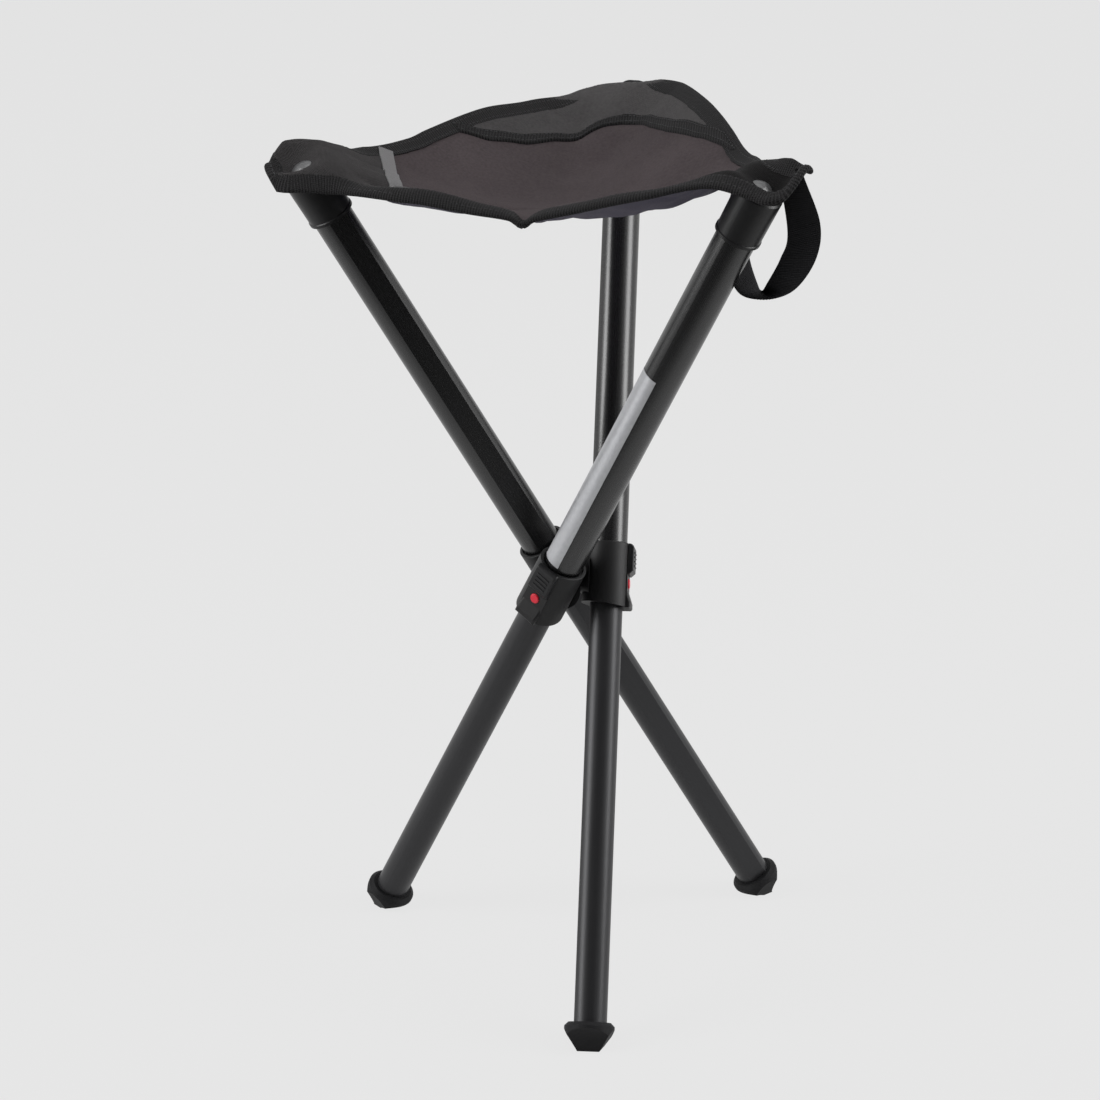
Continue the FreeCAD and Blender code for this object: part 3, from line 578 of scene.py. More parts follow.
def half_width(name, a, side):
    """From a corner's middle line to its hem, on one side."""
    if a <= HEM / 2:
        return a * tan(radians(60))
    if a <= BOWL_END:
        return (HEM - a / 2) / cos(radians(30))
    line = []
    for place in (BOWL_END - CORNER_EASE, BOWL_END):
        line.append((place, (HEM - place / 2) / cos(radians(30))))
    for out, section in CORNER_SECTIONS[name]:
        line.append((corner_reach + out, abs(section[-1 if side > 0 else 0][0])))
    return follow(line, a)


def on_seat(x, y, lift):
    """A point over a place in plan, in metres, lifted off the fabric."""
    z = seat_top(x, y) + lift
    return Vector((centre.x + x * MM, centre.y + y * MM, z * MM))


def seat_point(name, a, s, lift=0.0):
    """A point on the seat, out towards a corner and to its side."""
    return on_seat(*in_plan(name, a, s), lift)


def solid_mesh(name, points, faces, material, uv=None):
    """A mesh object from points in metres, with faces that point outwards."""
    mesh = bpy.data.meshes.new(name)
    mesh.from_pydata([tuple(p) for p in points], [], faces)
    if uv:
        layer = mesh.uv_layers.new(name="cloth")
        for loop in mesh.loops:
            layer.data[loop.index].uv = uv[loop.vertex_index]
    mesh.polygons.foreach_set("use_smooth", [True] * len(mesh.polygons))
    mesh.materials.append(material)
    mesh.update()
    piece = bpy.data.objects.new(name, mesh)
    bpy.context.collection.objects.link(piece)
    return piece


def thick_sheet(name, rows, thickness, material):
    """A closed sheet under a grid of points. Its thickness goes straight down."""
    count, width = len(rows), len(rows[0])
    points, uv = [], []
    for drop in (0.0, thickness * MM):
        for row in rows:
            for p in row:
                points.append((p.x, p.y, p.z - drop))
                uv.append((p.x, p.y))
    under = count * width
    faces = []
    for i in range(count - 1):
        for j in range(width - 1):
            a, b = i * width + j, (i + 1) * width + j
            faces.append((a, b, b + 1, a + 1))
            faces.append((under + a, under + a + 1, under + b + 1, under + b))
    for i in range(count - 1):
        a, b = i * width, (i + 1) * width
        faces.append((a, under + a, under + b, b))
        a, b = a + width - 1, b + width - 1
        faces.append((a, b, under + b, under + a))
    for j in range(width - 1):
        a = (count - 1) * width + j
        faces.append((a, under + a, under + a + 1, a + 1))
        faces.append((j, j + 1, under + j + 1, under + j))
    return close_up(solid_mesh(name, points, faces, material, uv))


def blend_to_leg(piece, name):
    """Bakes the piece's place into its points. It also finds the seat's middle and the start of the
    corner's crest, level with each other, and uses them for nothing.
    """
    start = seat_point(name, HEM / 2, 0)
    end = seat_point(name, corner_reach - CREST, 0)
    end.z = start.z
    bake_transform(piece)


CLOTH_IOR = 1.18
CLOTH_SHEEN = 0.02
CLOTH_DEPTH = 0.00045


def woven(name, dark, light, pitch=1.15, roughness=0.75):
    """Plain-woven cloth: warp and weft threads, with cloudy wear, a soft sheen, and painted shade
    in the hollows of the weave.
    """
    finish = Finish(name, ior=CLOTH_IOR, sheen_weight=CLOTH_SHEEN, sheen_roughness=0.4)
    across, along, _ = finish.parts(finish.node("ShaderNodeUVMap", {"uv_map": "cloth"}))
    turn = 2 * pi / (pitch * MM)
    weave = finish.wave(across * turn) * finish.wave(along * turn) * 0.5 + 0.5
    cloud = finish.grain(26.0, 5.0)
    fibre = finish.grain(620.0, 4.0)
    # The weave's relief also sets part of the colour, darker in its hollows and lighter on the
    # threads: painted shade.
    tone = cloud * 0.4 + weave * 0.2 + fibre * 0.7 - 0.15
    return finish.finished(
        base_color=finish.blend(tone, dark, light),
        roughness=roughness + 0.12 * fibre,
        height=weave * 0.6 + fibre * 0.4,
        depth=CLOTH_DEPTH,
    )


def panel_grid(name, lift, inset, end, step):
    """Points over one corner's share of the seat, from its middle to the corner's end."""
    rows = []
    count = round((end - 1) / step)
    across = 2 * round(HEM / step / SIDE_STEP)
    for i in range(count + 1):
        a = end * i / count
        row = []
        for j in range(across + 1):
            t = 2 * j / across - 1
            reach = half_width(name, a, t)
            if a > HEM / 2:
                reach -= inset * min(1.0, (a - HEM / 2) / INSET_EASE)
            row.append(seat_point(name, a, t * reach, lift))
        rows.append(row)
    return rows


seat_cloth = woven("seat cloth", (0.028, 0.0225, 0.0238, 1), (0.094, 0.0775, 0.0815, 1))
for name in LEGS:
    tip = corner_reach + CORNER_TIP[name]
    rows = panel_grid(name, 0, PANEL_INSET, tip - PANEL_INSET, PANEL_STEP)
    panel = thick_sheet("seat_panel_" + name, rows, PANEL_THICKNESS, seat_cloth)
    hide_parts("seat_panel")
    blend_to_leg(panel, name)


# The lining is a second, purple-grey layer under the panel. It is sewn in at the hems and
# ends before the caps, and it wrinkles a little because it carries no load.
LINING_THICKNESS = 0.7
LINING_GAP = 0.25
LINING_INSET = 4.0
LINING_STEP = 3.0
LINING_BEFORE_RIVET = 24
# The wrinkles: how deep they hang, how close they lie, and how much of the cloth they take
LINING_SAG = 1.6
WRINKLES_A_METRE = 45
WRINKLED_SHARE = 0.4
WRINKLE_EASE = 6

lining_cloth = woven(
    "lining cloth", (0.06, 0.055, 0.075, 1), (0.1, 0.092, 0.122, 1), pitch=0.7, roughness=0.7,
)
for name in LEGS:
    under, end = -PANEL_THICKNESS - LINING_GAP, corner_reach - LINING_BEFORE_RIVET
    rows = panel_grid(name, under, LINING_INSET, end, LINING_STEP)
    for i, row in enumerate(rows):
        for j, p in enumerate(row):
            aside = 2 * j / (len(row) - 1) - 1
            free = min(1.0, (len(rows) - 1 - i) / WRINKLE_EASE) * (1 - aside ** 8)
            sag = WRINKLED_SHARE + noise.noise(Vector((p.x, p.y, 0)) * WRINKLES_A_METRE)
            p.z -= max(0.0, sag) * LINING_SAG * free * MM
    lining = thick_sheet("seat_lining_" + name, rows, LINING_THICKNESS, lining_cloth)
    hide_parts("seat_lining")
    blend_to_leg(lining, name)


# Ribbed near-black tape is folded over every hem and round the tip of each corner, and sewn
# through. It is made as one length a corner, which runs from mid-hem to mid-hem.
TAPE_WIDTH = 8.4
# Its upper and lower face, from the top of the seat fabric
TAPE_LIFT = 0.75
TAPE_DROP = 2.45
# Its points: one every step along it, a few across it, and its free edge close to the cloth
TAPE_STEP = 1.6
TAPE_POINTS = 6
TAPE_EDGE = 0.05
WALK_STEP = 0.35
TURNS_EVENED = 3
YARN_PITCH = 1.1
# The outline that it follows bulges a little round each corner's tip
OUTLINE_STEPS = 70
TIP_STEPS = 10
TIP_BULGE = 2.4


def hem_places(name):
    """Places along a corner's outline in plan, from one mid-hem round the tip to the other."""
    tip = corner_reach + CORNER_TIP[name]
    run = [HEM / 2 + (tip - HEM / 2) * i / OUTLINE_STEPS for i in range(OUTLINE_STEPS + 1)]
    places = [(a, -half_width(name, a, -1)) for a in run]
    left, right = places[-1][1], half_width(name, tip, 1)
    for i in range(1, TIP_STEPS):
        t = i / TIP_STEPS
        places.append((tip + TIP_BULGE * sin(pi * t), left + (right - left) * t))
    places += [(a, half_width(name, a, 1)) for a in reversed(run)]
    return even_steps(places, TAPE_STEP)


def even_steps(places, step):
    """The same plan line, with its points one step apart."""
    length = [0.0]
    for (a, b), (c, d) in zip(places, places[1:]):
        length.append(length[-1] + hypot(c - a, d - b))
    count = max(2, round(length[-1] / step))
    evened, n = [], 0
    for i in range(count + 1):
        x = length[-1] * i / count
        while n < len(length) - 2 and x > length[n + 1]:
            n += 1
        t = (x - length[n]) / max(1e-9, length[n + 1] - length[n])
        (a, b), (c, d) = places[n], places[n + 1]
        evened.append((a + (c - a) * t, b + (d - b) * t))
    return evened


def walk_in(name, place, inward, reach, count):
    """Points on the fabric from a place on its hem inwards, evenly spaced along the cloth."""
    found = [seat_point(name, *place)]
    a, s = place
    walked, last = 0.0, found[0]
    while len(found) < count + 1:
        a, s = a + inward[0] * WALK_STEP, s + inward[1] * WALK_STEP
        p = seat_point(name, a, s)
        walked += (p - last).length / MM
        last = p
        if walked >= reach * len(found) / count:
            found.append(p)
    return found


def inward_turns(places):
    """Directions to the left of a plan line, each averaged with its neighbours."""
    turns, evened = [], []
    for i in range(len(places)):
        (a, b), (c, d) = places[max(0, i - 1)], places[min(len(places) - 1, i + 1)]
        size = hypot(c - a, d - b)
        turns.append((-(d - b) / size, (c - a) / size))
    for i in range(len(turns)):
        near = turns[max(0, i - TURNS_EVENED):i + TURNS_EVENED + 1]
        x, y = sum(t[0] for t in near), sum(t[1] for t in near)
        size = hypot(x, y)
        evened.append((x / size, y / size))
    return evened


def closed_run(name, points, size, material, uv):
    """A solid along a row of rings, each of size points, with both ends closed."""
    faces = []
    for start in range(0, len(points) - size, size):
        for n in range(size):
            a, b = start + n, start + (n + 1) % size
            faces.append((a, b, b + size, a + size))
    faces.append(tuple(range(size - 1, -1, -1)))
    faces.append(tuple(range(len(points) - size, len(points))))
    return close_up(solid_mesh(name, points, faces, material, uv))


def tape_mesh(name, corner, places, width, lift, drop, material, folded=True):
    """Tape on the fabric along a plan line, to its left. A folded one goes round the edge."""
    walks = []
    for place, turn in zip(places, inward_turns(places)):
        walks.append(walk_in(corner, place, turn, width, TAPE_POINTS))
    points, uv, length = [], [], 0.0
    for i, walk in enumerate(walks):
        before, after = walks[max(0, i - 1)], walks[min(len(walks) - 1, i + 1)]
        if i:
            length += (walk[TAPE_POINTS // 2] - walks[i - 1][TAPE_POINTS // 2]).length
        normals = []
        for n in range(TAPE_POINTS + 1):
            tangent = after[n] - before[n]
            across = walk[min(TAPE_POINTS, n + 1)] - walk[max(0, n - 1)]
            normals.append(tangent.cross(across).normalized())
        outwards = (walk[0] - walk[1]).normalized()
        ring = [walk[-1] + normals[-1] * TAPE_EDGE * MM]
        for n in range(TAPE_POINTS, 0, -1):
            ring.append(walk[n] + normals[n] * lift * MM)
        middle, bulge = (lift - drop) / 2, (lift + drop) / 2
        around = 4 if folded else 2
        for n in range(around + 1):
            turn = pi * n / around
            ring.append(
                walk[0] + normals[0] * (middle + bulge * cos(turn)) * MM
                + outwards * (bulge * sin(turn) if folded else 0) * MM
            )
        for n in range(1, TAPE_POINTS + 1):
            ring.append(walk[n] - normals[n] * drop * MM)
        span = 0.0
        for n, p in enumerate(ring):
            if n:
                span += (p - ring[n - 1]).length
            points.append(p)
            uv.append((length, span))
    return closed_run(name, points, len(ring), material, uv)


def ribbed_tape(name, dark, light, pitch, depth):
    """Ribbed tape: close ribs across it, each broken up by its yarns. Its colour carries painted
    shade in the grooves and painted highlight on the ribs.
    """
    finish = Finish(name, ior=CLOTH_IOR)
    along, across, _ = finish.parts(finish.node("ShaderNodeUVMap", {"uv_map": "cloth"}))
    ribs = along * (2 * pi / (pitch * MM))
    yarns = across * (2 * pi / (YARN_PITCH * MM)) + ribs * 0.5
    fibre = finish.grain(1300.0, 2.0)
    relief = finish.wave(ribs) * 0.35 + finish.wave(yarns) * 0.2 + 0.5
    # Painted shade and highlight: the ribs' relief also sets the colour, dark in the grooves and
    # light on the crests.
    tone = relief * 0.6 + fibre * 0.4
    return finish.finished(
        base_color=finish.blend(tone, dark, light),
        roughness=0.62 + 0.2 * fibre,
        height=relief,
        depth=depth * MM,
    )


binding_cloth = ribbed_tape(
    "binding tape", (0.0015, 0.0015, 0.0017, 1), (0.034, 0.033, 0.034, 1), pitch=1.6, depth=0.5,
)
HEMS_AT = {
    "back": ["edge_binding_back_left", "edge_binding_right_back"],
    "left": ["edge_binding_back_left", "edge_binding_left_right"],
    "right": ["edge_binding_left_right", "edge_binding_right_back"],
}
outlines = {name: hem_places(name) for name in LEGS}
bindings = {}
for name in LEGS:
    binding = tape_mesh(
        "binding_" + name, name, outlines[name], TAPE_WIDTH, TAPE_LIFT, TAPE_DROP, binding_cloth,
    )
    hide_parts(*HEMS_AT[name])
    blend_to_leg(binding, name)
    bindings[name] = binding


# Every hem is sewn with two rows of black thread, one near each edge of the tape. Each stitch is
# a small bead of thread, set by one tree of nodes along a line on the cloth.
THREAD_RADIUS = 0.28
STITCH_LENGTH = 2.3
STITCH_PITCH = 3.2
STITCH_ROWS = (TAPE_WIDTH - 1.4, 1.8)


def stitch_tree():
    """Nodes that set stitches along the edges of a mesh."""
    tree = bpy.data.node_groups.new("stitches", "GeometryNodeTree")
    face = tree.interface
    face.new_socket("Line", in_out="INPUT", socket_type="NodeSocketGeometry")
    for title in ("Pitch", "Length", "Radius"):
        face.new_socket(title, in_out="INPUT", socket_type="NodeSocketFloat")
    face.new_socket("Thread", in_out="INPUT", socket_type="NodeSocketMaterial")
    face.new_socket("Stitches", in_out="OUTPUT", socket_type="NodeSocketGeometry")
    nodes, link = tree.nodes, tree.links.new
    source = nodes.new("NodeGroupInput")
    curve = nodes.new("GeometryNodeMeshToCurve")
    link(source.outputs["Line"], curve.inputs["Mesh"])
    spaced = nodes.new("GeometryNodeResampleCurve")
    spaced.mode = "LENGTH"
    link(curve.outputs["Curve"], spaced.inputs["Curve"])
    link(source.outputs["Pitch"], spaced.inputs["Length"])
    bead = nodes.new("GeometryNodeMeshUVSphere")
    bead.inputs["Segments"].default_value = 6
    bead.inputs["Rings"].default_value = 4
    bead.inputs["Radius"].default_value = 1.0
    size = nodes.new("ShaderNodeCombineXYZ")
    half = nodes.new("ShaderNodeMath")
    half.operation = "MULTIPLY"
    half.inputs[1].default_value = 0.5
    link(source.outputs["Length"], half.inputs[0])
    link(source.outputs["Radius"], size.inputs["X"])
    link(source.outputs["Radius"], size.inputs["Y"])
    link(half.outputs[0], size.inputs["Z"])
    tangent = nodes.new("GeometryNodeInputTangent")
    turn = nodes.new("FunctionNodeAlignRotationToVector")
    turn.axis = "Z"
    link(tangent.outputs[0], turn.inputs["Vector"])
    each = nodes.new("GeometryNodeInstanceOnPoints")
    link(spaced.outputs["Curve"], each.inputs["Points"])
    link(bead.outputs["Mesh"], each.inputs["Instance"])
    link(turn.outputs["Rotation"], each.inputs["Rotation"])
    link(size.outputs["Vector"], each.inputs["Scale"])
    real = nodes.new("GeometryNodeRealizeInstances")
    link(each.outputs["Instances"], real.inputs["Geometry"])
    thread = nodes.new("GeometryNodeSetMaterial")
    link(real.outputs["Geometry"], thread.inputs["Geometry"])
    link(source.outputs["Thread"], thread.inputs["Material"])
    link(thread.outputs["Geometry"], nodes.new("NodeGroupOutput").inputs["Stitches"])
    return tree


def sew(name, lines, thread, pitch=STITCH_PITCH):
    """Stitches along lines of points, as one plain mesh."""
    mesh = bpy.data.meshes.new(name)
    points, edges = [], []
    for line in lines:
        edges += [(len(points) + i, len(points) + i + 1) for i in range(len(line) - 1)]
        points += [tuple(p) for p in line]
    mesh.from_pydata(points, edges, [])
    lines_object = bpy.data.objects.new(name + " lines", mesh)
    bpy.context.collection.objects.link(lines_object)
    nodes = lines_object.modifiers.new("stitches", "NODES")
    nodes.node_group = stitches
    values = {
        "Pitch": pitch * MM,
        "Length": STITCH_LENGTH * MM,
        "Radius": THREAD_RADIUS * MM,
        "Thread": thread,
    }
    for socket in stitches.interface.items_tree:
        if socket.name in values:
            nodes[socket.identifier] = values[socket.name]
    ready = lines_object.evaluated_get(bpy.context.evaluated_depsgraph_get())
    sewn = bpy.data.meshes.new_from_object(ready)
    sewn.name = name
    bpy.data.objects.remove(lines_object)
    piece = bpy.data.objects.new(name, sewn)
    bpy.context.collection.objects.link(piece)
    return piece


def spun_thread(name, dark, light):
    finish = Finish(name, ior=1.4)
    twist = finish.grain(2400.0, 2.0)
    return finish.finished(
        base_color=finish.blend(twist, dark, light),
        roughness=0.5 + 0.2 * twist,
        height=twist,
        depth=0.00004,
    )


def beside(name, places, inset, lift):
    """A line on the cloth, at an even distance inside a plan line."""
    line = []
    for place, turn in zip(places, inward_turns(places)):
        line.append(walk_in(name, place, turn, inset, 1)[1] + Vector((0, 0, lift * MM)))
    return line


stitches = stitch_tree()
black_thread = spun_thread("black thread", (0.012, 0.012, 0.013, 1), (0.03, 0.03, 0.032, 1))
hem_stitches = {}
for name in LEGS:
    lines = [beside(name, outlines[name], inset, TAPE_LIFT) for inset in STITCH_ROWS]
    sewn = sew("hem_stitches_" + name, lines, black_thread)
    blend_to_leg(sewn, name)
    hem_stitches[name] = sewn


# A large overlay of the same cloth doubles the seat at the back corner. Its free edge curves
# across the seat and is turned under and sewn down with two rows of stitches.
OVERLAY_LIFT = 0.85
# Its free edge: distance from the seat's axis by direction in plan. It lies on two panels.
OVERLAY_EDGE = [
    (-3, 96), (-1.2, 93.8), (6.8, 85.8), (14.6, 80.8), (20.6, 77.5), (29, 75.5),
    (38, 75.4), (45.1, 76.3), (52.1, 80.2), (56.6, 83.3), (61.2, 87.5), (65.6, 93.4),
    (70, 99.7), (75.8, 102.9), (79.1, 101.7), (82.2, 100), (85.5, 97.2), (93.5, 89.5),
    (98.6, 85.4), (107, 78.5), (116.2, 74), (132.5, 75.3), (142.03, 83.5),
]
OVERLAY_SPANS = {"back": (22.03, 142.03), "right": (-3, 22.03)}
OVERLAY_TURN = 0.9
OVERLAY_COLUMNS = 30
# It ends inside the tape, at the hems and at the corners
OVERLAY_BEFORE_HEM = 3
OVERLAY_BEFORE_RIVET = 8
# Its turned hem: how wide, and points across it by share of that width and rise over the cloth
HEM_BAND = 7.0
HEM_BAND_OUT = 0.3
HEM_BAND_THICKNESS = 0.6
HEM_BAND_SHAPE = [
    (0, 0.0), (0.06, 0.8), (0.2, 0.55), (0.5, 0.9), (0.8, 0.55), (0.94, 0.8), (1.0, 0.0),
]
OVERLAY_STITCH_ROWS = (1.5, 5.4)
OVERLAY_STITCH_LIFT = 0.75
OVERLAY_STITCH_PITCH = 2.9


def overlay_point(angle, reach, lift):
    return on_seat(reach * cos(radians(angle)), reach * sin(radians(angle)), lift)


def outer_reach(angle):
    """From the seat's middle to just inside the tape, by direction in plan."""
    _, a, s = nearest_corner(cos(radians(angle)), sin(radians(angle)))
    to_hem = (HEM - OVERLAY_BEFORE_HEM) / cos(radians(60 - abs(degrees(atan2(s, a)))))
    return min(to_hem, (corner_reach - OVERLAY_BEFORE_RIVET) / a)


overlay_cloth = woven("overlay cloth", (0.026, 0.0248, 0.0252, 1), (0.088, 0.084, 0.085, 1))
overlays = {}
for name, (first, last) in OVERLAY_SPANS.items():
    rows, band, edge_lines = [], [], [[], []]
    count = round((last - first) / OVERLAY_TURN)
    for i in range(count + 1):
        angle = first + (last - first) * i / count
        outer = outer_reach(angle)
        inner = min(follow(OVERLAY_EDGE, angle), outer - 1)
        row = []
        for j in range(OVERLAY_COLUMNS + 1):
            reach = inner + (outer - inner) * j / OVERLAY_COLUMNS
            row.append(overlay_point(angle, reach, OVERLAY_LIFT))
        rows.append(row)
        width = min(HEM_BAND, outer - inner)
        row = []
        for share, rise in HEM_BAND_SHAPE:
            reach = inner - HEM_BAND_OUT + width * share
            row.append(overlay_point(angle, reach, OVERLAY_LIFT + rise))
        band.append(row)
        for line, inset in zip(edge_lines, OVERLAY_STITCH_ROWS):
            reach = inner + min(inset, width)
            line.append(overlay_point(angle, reach, OVERLAY_LIFT + OVERLAY_STITCH_LIFT))
    overlay = thick_sheet("seat_overlay_" + name, rows, OVERLAY_LIFT, overlay_cloth)
    blend_to_leg(overlay, name)
    hem_band = thick_sheet("overlay_hem_" + name, band, HEM_BAND_THICKNESS, binding_cloth)
    blend_to_leg(hem_band, name)
    sewn = sew("overlay_stitches_" + name, edge_lines, black_thread, OVERLAY_STITCH_PITCH)
    blend_to_leg(sewn, name)
    overlays[name] = [overlay, hem_band, sewn]


# A patch of darker cloth doubles each corner over its cap. At the right corner it is painted nearly
# black, as painted shade for the shadow that lies there. Light grey ribbed tape covers the left
# patch's inner edge.
PATCH_LIFT = 0.7
PATCH_START = {"back": 118, "left": 96, "right": 112}
PATCH_INSET = 2.5
PATCH_BEFORE_TIP = 2
PATCH_ROWS = 40
PATCH_COLUMNS = 30
DARK_PATCH = ((0.017, 0.016, 0.0163, 1), (0.054, 0.051, 0.052, 1))
# The right corner's patch: the same cloth painted nearly black, a painted shade
PAINTED_SHADE_PATCH = ((0.004, 0.0038, 0.0039, 1), (0.013, 0.0124, 0.0127, 1))
PATCH_TONES = {"back": DARK_PATCH, "left": DARK_PATCH, "right": PAINTED_SHADE_PATCH}
# The grey tape's middle line on the left corner, in plan, and its width and top
GREY_BAND_LINE = [(97, 34), (95, 0), (88, -48)]
GREY_BAND_WIDTH = 8.5
GREY_BAND_LIFT = PATCH_LIFT + 0.7

patches = {}
for name in LEGS:
    rows = []
    start, end = PATCH_START[name], corner_reach + CORNER_TIP[name] - PATCH_BEFORE_TIP
    for i in range(PATCH_ROWS + 1):
        a = start + (end - start) * i / PATCH_ROWS
        row = []
        for j in range(PATCH_COLUMNS + 1):
            t = 2 * j / PATCH_COLUMNS - 1
            s = t * (half_width(name, a, t) - PATCH_INSET)
            row.append(seat_point(name, a, s, PATCH_LIFT))
        rows.append(row)
    patch_cloth = woven("patch cloth " + name, *PATCH_TONES[name])
    patch = thick_sheet("corner_patch_layer_" + name, rows, PATCH_LIFT, patch_cloth)
    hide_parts("corner_patch_" + name)
    blend_to_leg(patch, name)
    patches[name] = patch

grey_tape = ribbed_tape(
    "grey tape", (0.07, 0.069, 0.071, 1), (0.26, 0.256, 0.26, 1), pitch=1.1, depth=0.2,
)
grey_band = tape_mesh(
    "grey_band", "left", even_steps(GREY_BAND_LINE, TAPE_STEP), GREY_BAND_WIDTH,
    GREY_BAND_LIFT, -PATCH_LIFT, grey_tape, folded=False,
)
blend_to_leg(grey_band, "left")


# The strap is flat black webbing with close ribs across it. Both ends are sewn under the right
# corner, and it hangs as a loop beside the leg.
STRAP_BELOW_SEAT = 4.6
STRAP_THICKNESS = 1.5
STRAP_THINNED = 0.75
STRAP_RIB = 1.15
STRAP_RIB_HEIGHT = 0.14
STRAP_RIB_AT_EDGE = 0.3
STRAP_ROWS = 420
STRAP_COLUMNS = 12
# Its two edges, each point past the rivet, to its side and above it. A height of 0 is sewn on.
STRAP_NEAR_EDGE = [
    (17.0, 14.0, 0.0), (21.0, 23.0, -20.5), (18.0, 23.5, -40.5), (8.0, 19.0, -58.0),
    (-4.0, 13.0, -65.0), (-20.0, 8.5, -66.0), (-32.0, 11.0, -61.0), (-39.5, 11.5, -47.0),
    (-38.0, 10.0, -32.0), (-28.0, 8.5, 0.0),
]
STRAP_FAR_EDGE = [
    (-2.0, 15.5, 0.0), (3.0, 17.0, -27.5), (-2.5, 17.5, -43.0), (-12.0, 17.5, -58.5),
    (-21.0, 23.0, -66.0), (-26.0, 25.0, -63.0), (-34.0, 28.0, -52.0), (-38.0, 30.0, -39.5),
    (-34.0, 28.5, -26.0), (-24.0, 27.0, 0.0),
]


def strap_edge(points):
    """A smooth edge of the strap, by share of its length."""
    knots = []
    for n, (out, side, up) in enumerate(points):
        x, y = in_plan("right", corner_reach + out, side)
        z = rivets["right"].z + up
        if up == 0:
            z = seat_top(x, y) - STRAP_BELOW_SEAT - centre.z / MM
        knots.append((n / (len(points) - 1), Vector((x, y, z)) * MM + centre))
    return lambda t: follow(knots, t)


def strap_mesh(material):
    near, far = strap_edge(STRAP_NEAR_EDGE), strap_edge(STRAP_FAR_EDGE)
    points, uv, length, last = [], [], 0.0, None
    for i in range(STRAP_ROWS + 1):
        t = i / STRAP_ROWS
        a, b = near(t), far(t)
        after, before = min(1, t + 0.5 / STRAP_ROWS), max(0, t - 0.5 / STRAP_ROWS)
        ahead = (near(after) + far(after)) - (near(before) + far(before))
        normal = ahead.cross(b - a).normalized()
        if last is not None:
            length += ((a + b) / 2 - last).length
        last = (a + b) / 2
        rib = STRAP_RIB_HEIGHT * cos(2 * pi * length / (STRAP_RIB * MM))
        ring = []
        for n in range(STRAP_COLUMNS + 1):
            s = n / STRAP_COLUMNS
            thick = STRAP_THICKNESS / 2 * (1 - STRAP_THINNED * abs(2 * s - 1) ** 10)
            ring.append((s, thick + rib * (STRAP_RIB_AT_EDGE if n in (0, STRAP_COLUMNS) else 1)))
        for s, thick in ring:
            points.append(a.lerp(b, s) + normal * thick * MM)
            uv.append((length, s * (b - a).length))
        for s, thick in reversed(ring):
            points.append(a.lerp(b, s) - normal * thick * MM)
            uv.append((length, s * (b - a).length))
    return closed_run("strap", points, 2 * len(ring), material, uv)


strap_webbing = ribbed_tape(
    "strap webbing", (0.006, 0.006, 0.0065, 1), (0.024, 0.024, 0.026, 1),
    pitch=STRAP_RIB, depth=0.05,
)
strap = strap_mesh(strap_webbing)
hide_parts("strap_loop")
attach(strap, "upper_leg_right")


# The sling is three shares of one flat cloth, stretched between the caps. The tapes, patches,
# overlay and stitches on each share are gathered in a list, which is not used further.
for name in LEGS:
    sewn_on = [bindings[name], hem_stitches[name], patches[name]] + overlays.get(name, [])
    if name == "left":
        sewn_on.append(grey_band)


# The stool stands on a plain pale floor against a plain pale background. Two tall soft boxes at
# its sides and a soft light above it light it, and the front of the studio is dark, so that the
# tubes show a dark middle between two light bands.
PALE = (0.783, 0.783, 0.783, 1)
# The camera sees the floor mostly as an even glow. The rest of it carries the stool's shadow.
FLOOR_GLOW = (0.79, 0.79, 0.79, 1)
GLOW_SHARE = 0.96
FLOOR_CORNERS = [(-30, -30), (30, -30), (30, 30), (-30, 30)]
FLOOR_HEIGHT = -0.0005
AMBIENT = 0.16
# What a shiny surface sees: this share in front, and all of it behind, between two depths
FRONT_SHARE = 0.02
FLOOR_DEPTHS = (-0.6, -0.3)
BACKGROUND_DEPTHS = (-0.7, -0.1)
LAMP_AIM = Vector((0, 0, 0.25))


def seen_plainly(finish):
    """One for the camera's rays, and for those that a shiny or clear surface sends on."""
    rays = ("Is Camera Ray", "Is Glossy Ray", "Is Transmission Ray")
    camera, glossy, clear = (finish.node("ShaderNodeLightPath", output=ray) for ray in rays)
    return camera, glossy + clear


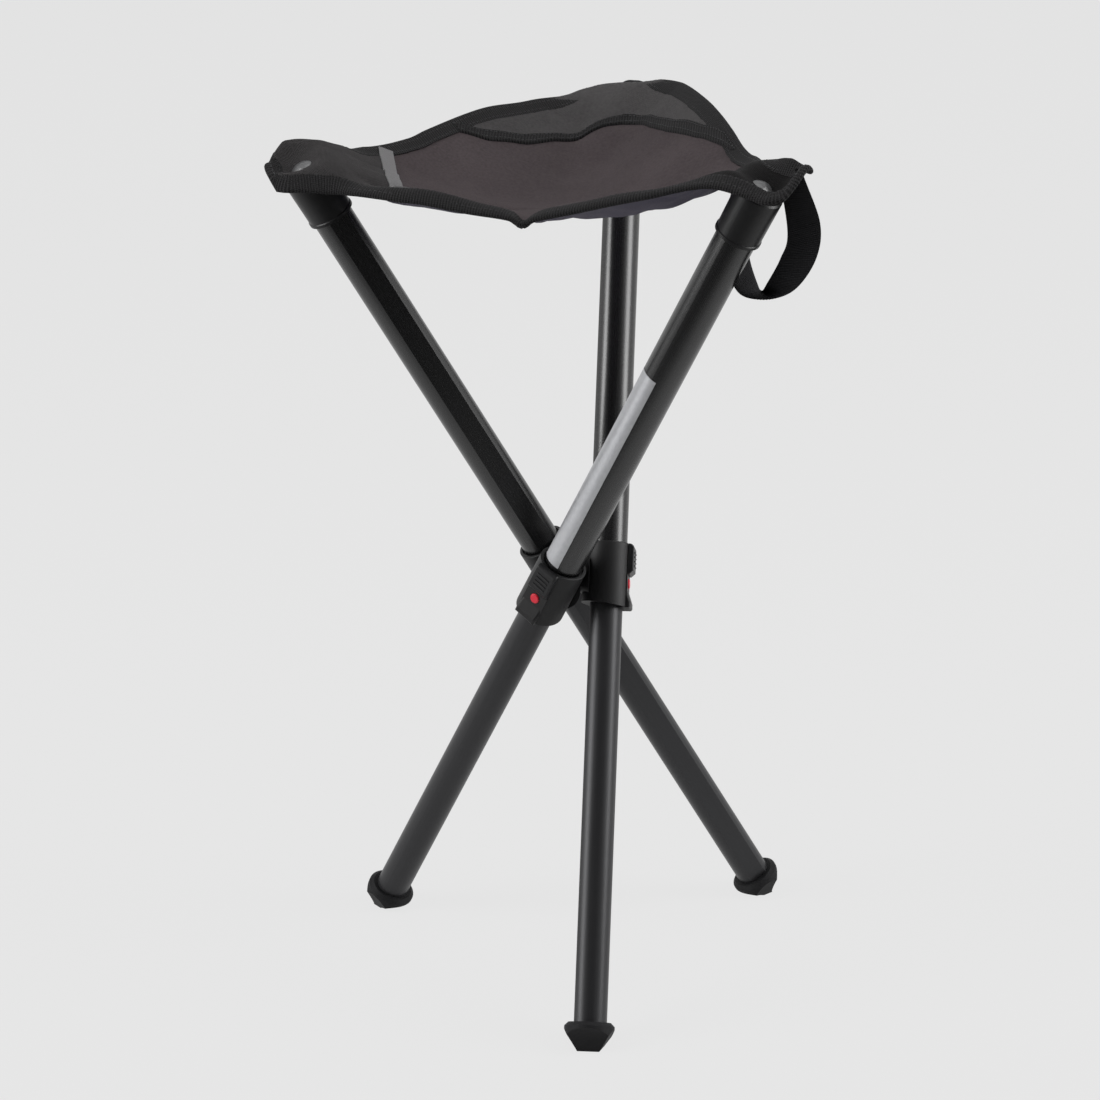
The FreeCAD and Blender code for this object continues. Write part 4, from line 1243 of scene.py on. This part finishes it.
def dark_in_front(finish, place, near, far):
    """A share that rises from front to back, by the depth of a place or of a direction."""
    depth = finish.parts(place)[1]
    links = {"Value": depth, "From Min": near, "From Max": far}
    links |= {"To Min": FRONT_SHARE, "To Max": 1.0}
    return finish.node("ShaderNodeMapRange", links=links)


def pale_floor():
    finish = Finish("pale floor", roughness=0.9, base_color=PALE)
    camera, others = seen_plainly(finish)
    strength = camera + others * dark_in_front(finish, finish.place(), *FLOOR_DEPTHS)
    glow = finish.node("ShaderNodeEmission", links={"Color": FLOOR_GLOW, "Strength": strength})
    shaded = Wire(finish, finish.shader.outputs[0])
    links = {0: (camera + others) * GLOW_SHARE, 1: shaded, 2: glow}
    mixed = finish.node("ShaderNodeMixShader", links=links)
    finish.tree.links.new(mixed.socket, finish.tree.nodes["Material Output"].inputs[0])
    return finish.material


floor_points = [Vector((x, y, FLOOR_HEIGHT)) for x, y in FLOOR_CORNERS]
floor = solid_mesh("floor", floor_points, [(0, 1, 2, 3)], pale_floor())

bpy.context.scene.world = bpy.data.worlds.new("studio")
studio = Finish("studio", bpy.context.scene.world, "Background", color=PALE)
camera_ray, other_rays = seen_plainly(studio)
direction = studio.node("ShaderNodeTexCoord", output="Generated")
background = dark_in_front(studio, direction, *BACKGROUND_DEPTHS)
lighting = (1 - camera_ray - other_rays) * AMBIENT
studio.set({"strength": camera_ray + other_rays * background + lighting})


def soft_box(name, place, size, power):
    """A rectangular lamp that faces the stool."""
    lamp = bpy.data.lights.new(name, "AREA")
    lamp.shape = "RECTANGLE"
    lamp.size, lamp.size_y = size
    lamp.energy = power
    box = bpy.data.objects.new(name, lamp)
    bpy.context.collection.objects.link(box)
    turn = (LAMP_AIM - Vector(place)).to_track_quat("-Z", "Y")
    box.matrix_world = Matrix.Translation(place) @ turn.to_matrix().to_4x4()


soft_box("left box", (-1.75, -0.7, 1.3), (0.8, 2.3), 46)
soft_box("right box", (1.85, -0.1, 1.3), (0.8, 2.3), 42)
soft_box("top box", (0.1, 0.1, 2.4), (1.4, 1.4), 10)
bpy.context.scene.view_settings.view_transform = "Standard"
